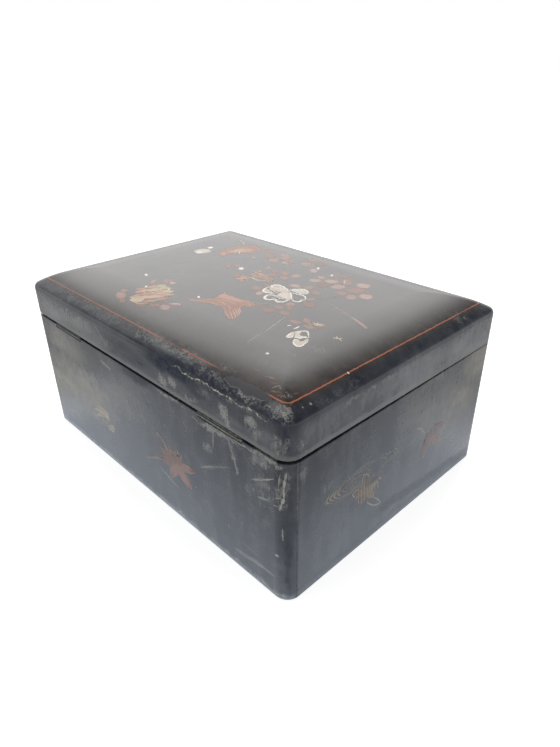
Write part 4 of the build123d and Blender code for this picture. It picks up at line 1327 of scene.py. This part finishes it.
def maple_leaf(dabs, x, y, size, turn, tone=0.5):
    """A pointed leaf of seven lobes"""
    for angle, length in MAPLE_LOBES:
        way = math.radians(turn + angle)
        reach = size * length
        middle_x = x + math.cos(way) * reach * 0.45
        middle_y = y + math.sin(way) * reach * 0.45
        dabs.petal(middle_x, middle_y, reach, size * 0.34, turn + angle, 0.6, low=0.1, tone=tone, sides=12)


BACK_LOBES = [
    (-41.6, 43.4, 18, 12, 10, 0.5), (-52, 48.6, 18, 6.4, 168, 0.5), (-49, 38.6, 15, 9, 216, 0.6),
    (-36.4, 38.4, 17, 8, -62, 0.55), (-44.6, 51, 13, 7, 100, 0.1), (-37.6, 49.4, 13, 8, 70, 0),
    (-31, 47.4, 14, 8, 44, 0), (-28.6, 42.6, 16, 6.6, -6, 0.1),
]


def back_leaves(dabs):
    """The fallen maple leaf on the back, with its thin brown upper lobes and its twig"""
    for x, y, length, width, turn, tone in BACK_LOBES:
        dabs.petal(x, y, length, width, turn, 0.4, low=dabs.draw.uniform(0.0, 0.3), tone=tone)
    dabs.stroke([(-26, 43), (-20, 40), (-12, 36), (-2, 31)], 1.6, tone=0.3)
    dabs.stroke([(-34, 50), (-31, 54), (-26, 59), (-22, 60.6)], 1.8, low=0.1, tone=0.4)


FAR_STROKES = [
    (54, 44.6, 20, -6), (55, 42, 22, -10), (53, 39.6, 18, -14), (58, 37.6, 14, -24), (57, 47, 15, 12),
    (49, 42, 10, 40), (44.6, 33, 10, -14), (43.6, 31, 8, -10), (40.6, 35, 6, 20),
]


def far_back_leaf(dabs):
    """The faint pale leaf further along the back, brushed in a few strokes, with the smudge below it"""
    for x, y, length, turn in FAR_STROKES:
        way = Vector((math.cos(math.radians(turn)), math.sin(math.radians(turn)))) * length / 2
        middle = Vector((x, y))
        points = [middle - way, middle + Vector((0.0, 0.5)), middle + way]
        dabs.stroke(points, 3.0, low=dabs.draw.uniform(0.0, 0.3))


BACK_VEINS = [
    [(-42, 51), (-43.6, 56), (-43.6, 60)], [(-45, 51), (-47, 54.6), (-47.6, 58)],
    [(-39.6, 51), (-40.4, 55), (-39, 58)], [(-36, 51), (-35.6, 54), (-33.6, 56)],
    [(-31.6, 50), (-29.4, 53.6), (-27.4, 55.4)],
    [(-31, 54), (-28, 57.4), (-24, 60.4), (-21.4, 60.6), (-22, 58)], [(-48, 50.6), (-54, 51.4), (-60, 50)],
    [(-26.6, 47), (-24.6, 50.4), (-24, 52.6)], [(-44.6, 56), (-42, 53), (-38.6, 51)],
    [(-38, 54), (-35, 51), (-31, 50)], [(60, 45), (54, 43.4), (48, 42)], [(62, 41), (56, 40), (47, 38.8)],
    [(47, 33), (44, 31), (41, 32)],
]


def back_gold(dabs):
    """Gold vein strokes at the tips of the leaf on the back, with the twig above it"""
    for points in BACK_VEINS:
        dabs.stroke(points, 1.1, low=0.5, tone=0.6)


LEFT_LOBES = [
    (-38, 45, 20, 9, 22, 0.6), (-31, 48.6, 15, 8, 60, 0.4), (-26, 44, 16, 7, 96, 0.1),
    (-27, 38.6, 8, 5, 100, 0.3), (-43, 54.6, 15, 5, 24, 0.5), (-46, 41, 10, 5, 10, 0.7),
    (-36, 52.6, 12, 5.4, 40, 0.3),
]


def left_leaves(dabs):
    """The faint maple leaf near the front of the left end"""
    for x, y, length, width, turn, tone in LEFT_LOBES:
        dabs.petal(x, y, length, width, turn, 0.4, low=dabs.draw.uniform(0.0, 0.3), tone=tone)


RINGS = [
    (42.4, 58.3, 61, 14.6), (43, 58.2, 53, 12), (49.6, 58.2, 32, 10.4), (48.4, 57.8, 20, 6),
    (50, 57.4, 9, 2.6),
]


def water_rings(dabs):
    """Thin rings of water round the fallen leaf, with its twig"""
    for x, z, length, width in RINGS:
        dabs.outline(x, z, length, width, 0, line=0.52, tone=0.5, sides=48)
    for y in (11.6, 6.4):
        dabs.stroke([(y + 3, 62.4), (y - 0.4, 58.8), (y + 2.6, 54.6)], 0.8, tone=0.5)
    for y in (61.0, 64.4, 67.6, 70.6):
        dabs.stroke([(y - 1.0, 61.6), (y + 1.4, 58.6), (y - 1.6, 55.2)], 1.2, low=0.2, tone=0.9)
    dabs.stroke([(-14, 65.0), (-19, 62.8), (-23, 58.6), (-26.6, 53)], 1.3, tone=1.0)
    dabs.stroke([(-14, 65.0), (-17, 64.0), (-20, 62.4)], 1.6, low=0.3, tone=1.0)
    dabs.stroke([(-44, 54.4), (-48, 51.6), (-52, 50)], 1.5, tone=1.0)


FLOATING_LOBES = [
    (29.6, 44.4, 12.6, 6.6, 170, 0.7), (34.4, 50.8, 11.4, 5.4, 82, 0.3), (41, 46, 11.4, 5.8, 36, 0.5),
    (30.6, 39, 12.6, 6.2, 228, 0.65), (38, 39.4, 12.8, 6.4, -28, 0.25), (34.2, 43.6, 11, 8.4, 20, 0.55),
    (39, 49, 7.8, 3.8, 60, 0.35),
]

FLOATING_LINES = [
    [(34, 35), (30.6, 31), (25.6, 27), (19.4, 25), (21.4, 28.4), (25, 32.4), (27.6, 35)],
    [(34, 48), (34, 53), (36.4, 57.8), (40, 56.6), (39.6, 52)],
    [(41, 44), (46, 46), (48.6, 49.6), (44.6, 50.4), (41, 48.6)],
]


def floating_leaf(dabs):
    """The leaf that floats in the water rings, drawn in close strokes, with a curled twig"""
    for x, z, length, width, turn, tone in FLOATING_LOBES:
        dabs.petal(x, z, length, width, turn, 0.25, low=dabs.draw.uniform(0.0, 0.3), tone=tone)
    for index in range(9):
        y = 24.0 + index * 2.7
        top = (46.5, 47.6, 46.0, 47.0, 57.6, 56.8, 53.4, 50.0, 49.0)[index]
        low = (40.0, 36.6, 34.6, 36.6, 38.0, 37.4, 37.0, 38.4, 42.6)[index]
        dabs.stroke([(y - 0.8, low), (y, (low + top) / 2), (y + 0.6, top)], 0.7, low=0.6, tone=0.95)
    for points in FLOATING_LINES:
        dabs.stroke(points, 1.0, low=0.6, tone=1.0)
    dabs.petal(22.6, 46.6, 3.6, 1.8, 20, low=0.6, tone=0.9, sides=10)


def front_leaves(dabs):
    """Two fallen maple leaves on the front, in the manner of the back"""
    maple_leaf(dabs, 62.0, 46.0, 15.0, 20, 0.5)
    maple_leaf(dabs, -74.0, 38.0, 12.0, 150, 0.4)
    dabs.stroke([(58, 46), (50, 48), (42, 54)], 0.9, tone=0.5)


def right_leaves(dabs):
    """A fallen maple leaf on the right end, in the manner of the left"""
    maple_leaf(dabs, 20.0, 44.0, 14.0, 60, 0.5)
    dabs.stroke([(18, 42), (8, 40), (0, 34)], 0.9, tone=0.5)


# Operators


class LACQUERBOX_OT_stage(bpy.types.Operator):
    """Sets out the pale floor, the soft lights and the camera"""

    bl_idname = "lacquer_box.stage"
    bl_label = "Stage, Lights and Camera"

    def execute(self, context):
        light = context.scene.lacquer_studio
        make_floor(context.scene, light)
        make_sky(context.scene)
        make_lights(context.scene, light)
        make_camera(context.scene, light)
        context.scene.view_settings.view_transform = "Standard"
        return {"FINISHED"}


FLOOR_RADIUS = 9.0
FLOOR_DROP = 0.0001
GLOW_REACH = 110.0
GLOW_COLOR = (0.80, 0.89, 1.00, 1.0)
BLEACHED_COLOR = (0.66, 0.66, 0.66, 1.0)
BLACK = (0.0, 0.0, 0.0, 1.0)


def make_floor(scene, light):
    """A pale floor that glows near the box, as on a light table, and is bleached for the camera"""
    mesh = bmesh.new()
    bmesh.ops.create_circle(mesh, cap_ends=True, segments=96, radius=FLOOR_RADIUS)
    bmesh.ops.translate(mesh, vec=(0, 0, -FLOOR_DROP), verts=mesh.verts)
    data = bpy.data.meshes.new("studio_floor")
    mesh.to_mesh(data)
    mesh.free()
    floor = bpy.data.objects.new("studio_floor", data)
    scene.collection.objects.link(floor)
    material, shader, position = begin_material("Pale Floor")
    shader.inputs["Roughness"].default_value = 0.9
    shader.inputs["Specular IOR Level"].default_value = 0.1
    color = opaque(light.floor_color)
    paler = opaque([min(1.0, part * 1.02) for part in light.floor_color])
    plug(shader.inputs["Base Color"], mixed(noise(position, 0.004, 2.0, 0.5), color, paler))
    ring = outline_distance(position, HALF_LENGTH, HALF_DEPTH, CORNER)
    glow = mixed(fade(ring, GLOW_REACH, 0.0), BLACK, GLOW_COLOR)
    seen = seen_by_camera(material.node_tree)
    plug(shader.inputs["Emission Color"], mixed(seen, glow, BLEACHED_COLOR))
    shader.inputs["Emission Strength"].default_value = 1.0
    data.materials.append(material)
    floor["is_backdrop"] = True


def seen_by_camera(tree):
    return Value(add("ShaderNodeLightPath", {}, tree).outputs["Is Camera Ray"])


SKY_DARK = 0.20
SKY_HORIZON = 1.10
SKY_RISE = 3.0
HORIZON_BAND = (0.50, 0.15)
WINDOW_TURN = math.radians(-40)
WINDOW_HALF_WIDTH = 0.60
WINDOW_TOP = (0.50, 0.33)
WINDOW_EDGE = (1.25, 0.70)


def make_sky(scene):
    """A large soft window on the far side, a paler band round the horizon, and plain white for the camera"""
    world = bpy.data.worlds.new("Soft Studio")
    scene.world = world
    world.use_nodes = True
    tree = world.node_tree
    background = tree.nodes["Background"]
    way = Value(add("ShaderNodeTexCoord", {}, tree).outputs["Generated"])
    _, _, height = parts_of(way)
    east, north = math.cos(WINDOW_TURN), math.sin(WINDOW_TURN)
    ahead = calculated("DOT_PRODUCT", way, (east, north, 0.0))
    aside = calculated("DOT_PRODUCT", way, (-north, east, 0.0)) / WINDOW_HALF_WIDTH
    above = larger(height - WINDOW_TOP[0], 0.0) / WINDOW_TOP[1]
    window = fade((above * above + aside * aside) ** 0.5, *WINDOW_EDGE) * fade(ahead, 0.0, 0.2)
    band = fade(height, *HORIZON_BAND) * (SKY_HORIZON - SKY_DARK) + SKY_DARK
    pane = height * SKY_RISE + SKY_HORIZON
    glow = window * (pane - band) + band
    seen = seen_by_camera(tree)
    plug(background.inputs["Strength"], glow * (1.0 - seen) + seen)
    background.inputs["Color"].default_value = (1.0, 1.0, 1.0, 1.0)


LAMP_SPREAD = math.radians(130)
LAMP_TILT = math.radians(-8)


def make_lights(scene, light):
    """One wide, soft light from above"""
    data = bpy.data.lights.new("overhead_softbox", "SUN")
    data.energy = light.key_strength
    data.angle = LAMP_SPREAD
    lamp = bpy.data.objects.new("overhead_softbox", data)
    lamp.rotation_euler = (LAMP_TILT, LAMP_TILT, 0)
    lamp.visible_glossy = False
    scene.collection.objects.link(lamp)


CAMERA_PLACE = (-0.29394, 0.25682, 0.27074)
CAMERA_RIGHT = (-0.70037, -0.71376, -0.00601)
CAMERA_UP = (0.34067, -0.34166, 0.87591)
CAMERA_BACK = (-0.62724, 0.61141, 0.48244)
SENSOR_WIDTH = 36.0
CLIP_START = 0.01


def make_camera(scene, light):
    """The camera that was fitted to the box's outline"""
    data = bpy.data.cameras.new("camera")
    data.lens = light.lens
    data.sensor_width = SENSOR_WIDTH
    data.clip_start = CLIP_START
    camera = bpy.data.objects.new("camera", data)
    turn = Matrix((CAMERA_RIGHT, CAMERA_UP, CAMERA_BACK)).transposed().to_4x4()
    camera.matrix_world = Matrix.Translation(CAMERA_PLACE) @ turn
    scene.collection.objects.link(camera)
    scene.camera = camera


def dress(slot, choose):
    """Puts a material, chosen by name, on every packed node that takes its finish from a slot"""
    for row in frame["record"]["subparts"]:
        if row["material_slot"] == slot:
            materials = frame["nodes"][row["node"]].data.materials
            material = choose(row["node"])
            for index in range(len(materials)):
                materials[index] = material
            if not materials:
                materials.append(material)


class LACQUERBOX_OT_lacquer(bpy.types.Operator):
    """Lacquers the walls, the floor of the box and the lid"""

    bl_idname = "lacquer_box.lacquer"
    bl_label = "Black Lacquer"

    def execute(self, context):
        finish = context.scene.lacquer_finish
        wall = wall_material(finish)
        lid = lid_material(finish)
        inside = inside_material(finish)

        def choose(name):
            if name.startswith("lid_"):
                return lid
            return inside if name == "bottom_board" else wall

        dress("black_lacquer", choose)
        return {"FINISHED"}


class LACQUERBOX_OT_brass(bpy.types.Operator):
    """Gives the hinges, the lock and the screws their aged brass"""

    bl_idname = "lacquer_box.brass"
    bl_label = "Aged Brass"

    def execute(self, context):
        material = brass_material(context.scene.lacquer_brass)
        dress("aged_brass", lambda name: material)
        return {"FINISHED"}


class LACQUERBOX_OT_pegs(bpy.types.Operator):
    """Gives the corner pegs their bamboo"""

    bl_idname = "lacquer_box.pegs"
    bl_label = "Bamboo Pegs"

    def execute(self, context):
        material = bamboo_material()
        dress("peg_wood", lambda name: material)
        return {"FINISHED"}


RUST_LIGHT = (0.39, 0.255, 0.225)
ORANGE_LIGHT = (0.50, 0.33, 0.25)
FEATHER_COLOR = (0.46, 0.33, 0.27)
WHITE_SHADE = (0.47, 0.385, 0.32)
GOLD_LIGHT = (0.52, 0.44, 0.30)
DUSTY_ROSE = (0.29, 0.155, 0.115)
DUSTY_ROSE_LIGHT = (0.36, 0.26, 0.205)
DULL_GOLD = (0.25, 0.16, 0.075)
DULL_GOLD_LIGHT = (0.42, 0.33, 0.21)
PALE_GOLD = (0.34, 0.28, 0.19)
BROWN_GOLD = (0.19, 0.115, 0.055)
CREAM = (0.38, 0.32, 0.24)
CREAM_LIGHT = (0.46, 0.41, 0.33)


def paints(scene):
    """The ornament's paints, made once: name, two colours, how rubbed and faded, and the lacquer below"""
    paint = scene.lacquer_ornament
    crown = scene.lacquer_finish.crown_color
    wall = scene.lacquer_finish.wall_color
    table = (
        ("Rust Paint", (paint.rust_color, RUST_LIGHT), 0.30, 0.0, crown),
        ("Orange Paint", (paint.orange_color, ORANGE_LIGHT), 0.25, 0.0, crown),
        ("White Paint", (WHITE_SHADE, paint.white_color), 0.10, 0.0, crown),
        ("Gold Paint", (paint.gold_color, GOLD_LIGHT), 0.35, 0.0, crown),
        ("Feather Paint", (ORANGE_LIGHT, FEATHER_COLOR), 0.20, 0.0, crown),
        ("Faded Rose Paint", (DUSTY_ROSE, DUSTY_ROSE_LIGHT), 0.60, 0.34, wall),
        ("Faint Rose Paint", (DUSTY_ROSE, DUSTY_ROSE_LIGHT), 0.95, 0.58, wall),
        ("Faded Gold Paint", (DULL_GOLD, DULL_GOLD_LIGHT), 0.40, 0.30, wall),
        ("Brown Gold Paint", (BROWN_GOLD, DULL_GOLD_LIGHT), 0.70, 0.50, wall),
        ("Cream Paint", (CREAM, CREAM_LIGHT), 0.50, 0.42, wall),
        ("Faint Gold Paint", (PALE_GOLD, DULL_GOLD_LIGHT), 0.40, 0.56, wall),
    )
    for row in table:
        if row[0] not in bpy.data.materials:
            paint_material(*row)
    return bpy.data.materials


def paint_pieces(scene, body, rows):
    """Makes painted pieces from rows of name, builder, surface, paint and seed step"""
    settings = scene.lacquer_ornament
    for name, build, surface, color, seed_step in rows:
        dabs = Dabs(settings.seed + seed_step)
        build(dabs)
        dabs.lay(name, surface, settings.thickness, body, paints(scene)[color])
    return {"FINISHED"}


class LACQUERBOX_OT_lid_leaves(bpy.types.Operator):
    """Paints the leaves, stems and petals on the lid"""

    bl_idname = "lacquer_box.lid_leaves"
    bl_label = "Leaves on the Lid"

    def execute(self, context):
        surface = lid_surface()
        return paint_pieces(context.scene, "lid", (
            ("lid_leaves", lid_leaves, surface, "Rust Paint", 1),
            ("lid_spray_petals", rust_spray, surface, "Orange Paint", 2),
            ("lid_gold_dabs", gold_spray, surface, "Gold Paint", 3),
        ))


class LACQUERBOX_OT_lid_birds(bpy.types.Operator):
    """Paints the two birds on the lid"""

    bl_idname = "lacquer_box.lid_birds"
    bl_label = "Birds on the Lid"

    def execute(self, context):
        surface = lid_surface()
        return paint_pieces(context.scene, "lid", (
            ("lid_near_bird", near_bird, surface, "Orange Paint", 4),
            ("lid_far_bird", far_bird, surface, "Orange Paint", 4),
            ("lid_bird_lines", bird_lines, surface, "Feather Paint", 4),
        ))


class LACQUERBOX_OT_lid_flowers(bpy.types.Operator):
    """Paints the white flower and the buds on the lid"""

    bl_idname = "lacquer_box.lid_flowers"
    bl_label = "White Flowers on the Lid"

    def execute(self, context):
        surface = lid_surface()
        return paint_pieces(context.scene, "lid", (
            ("lid_white_flower", white_flower, surface, "White Paint", 5),
            ("lid_white_buds", white_buds, surface, "White Paint", 5),
        ))


class LACQUERBOX_OT_wall_ornament(bpy.types.Operator):
    """Paints the maple leaves and water rings on the walls"""

    bl_idname = "lacquer_box.wall_ornament"
    bl_label = "Maple Leaves on the Walls"

    def execute(self, context):
        return paint_pieces(context.scene, "box", (
            ("back_maple_leaves", back_leaves, back_surface, "Faded Rose Paint", 6),
            ("back_faint_leaf", far_back_leaf, back_surface, "Cream Paint", 6),
            ("back_gold_twigs", back_gold, back_surface, "Faded Gold Paint", 6),
            ("left_maple_leaf", left_leaves, left_surface, "Faint Rose Paint", 6),
            ("left_water_rings", water_rings, left_surface, "Faint Gold Paint", 6),
            ("left_floating_leaf", floating_leaf, left_surface, "Brown Gold Paint", 6),
            ("front_maple_leaves", front_leaves, front_surface, "Faded Rose Paint", 6),
            ("right_maple_leaf", right_leaves, right_surface, "Faded Rose Paint", 6),
        ))


OPERATORS = (
    LACQUERBOX_OT_stage,
    LACQUERBOX_OT_lacquer,
    LACQUERBOX_OT_brass,
    LACQUERBOX_OT_pegs,
    LACQUERBOX_OT_lid_leaves,
    LACQUERBOX_OT_lid_birds,
    LACQUERBOX_OT_lid_flowers,
    LACQUERBOX_OT_wall_ornament,
)

SETTINGS = (
    ("lacquer_finish", LacquerFinish),
    ("lacquer_ornament", OrnamentPaint),
    ("lacquer_brass", BrassFinish),
    ("lacquer_studio", StudioLight),
)


class LACQUERBOX_PT_panel(bpy.types.Panel):
    """The lacquer box in the sidebar of the 3D view"""

    bl_label = "Lacquer Box"
    bl_space_type = "VIEW_3D"
    bl_region_type = "UI"
    bl_category = "Lacquer Box"

    def draw(self, context):
        for name, group in SETTINGS:
            column = self.layout.column()
            column.label(text=group.__doc__)
            for setting in group.__annotations__:
                column.prop(getattr(context.scene, name), setting)
        for operator in OPERATORS:
            self.layout.operator(operator.bl_idname)


def register():
    for name, group in SETTINGS:
        bpy.utils.register_class(group)
        setattr(bpy.types.Scene, name, PointerProperty(type=group))
    for operator in OPERATORS:
        bpy.utils.register_class(operator)
    bpy.utils.register_class(LACQUERBOX_PT_panel)


def unregister():
    bpy.utils.unregister_class(LACQUERBOX_PT_panel)
    for operator in reversed(OPERATORS):
        bpy.utils.unregister_class(operator)
    for name, group in reversed(SETTINGS):
        delattr(bpy.types.Scene, name)
        bpy.utils.unregister_class(group)


def main():
    """Dresses the whole box and works out its size"""
    register()
    for operator in OPERATORS:
        getattr(bpy.ops.lacquer_box, operator.bl_idname.split(".")[1])()
    visual_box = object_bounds()
    sizes = {
        "cad": [[float(value) for value in corner] for corner in cad_box],
        "visual": [[float(value) for value in corner] for corner in visual_box],
    }


if __name__ == "__main__":
    main()
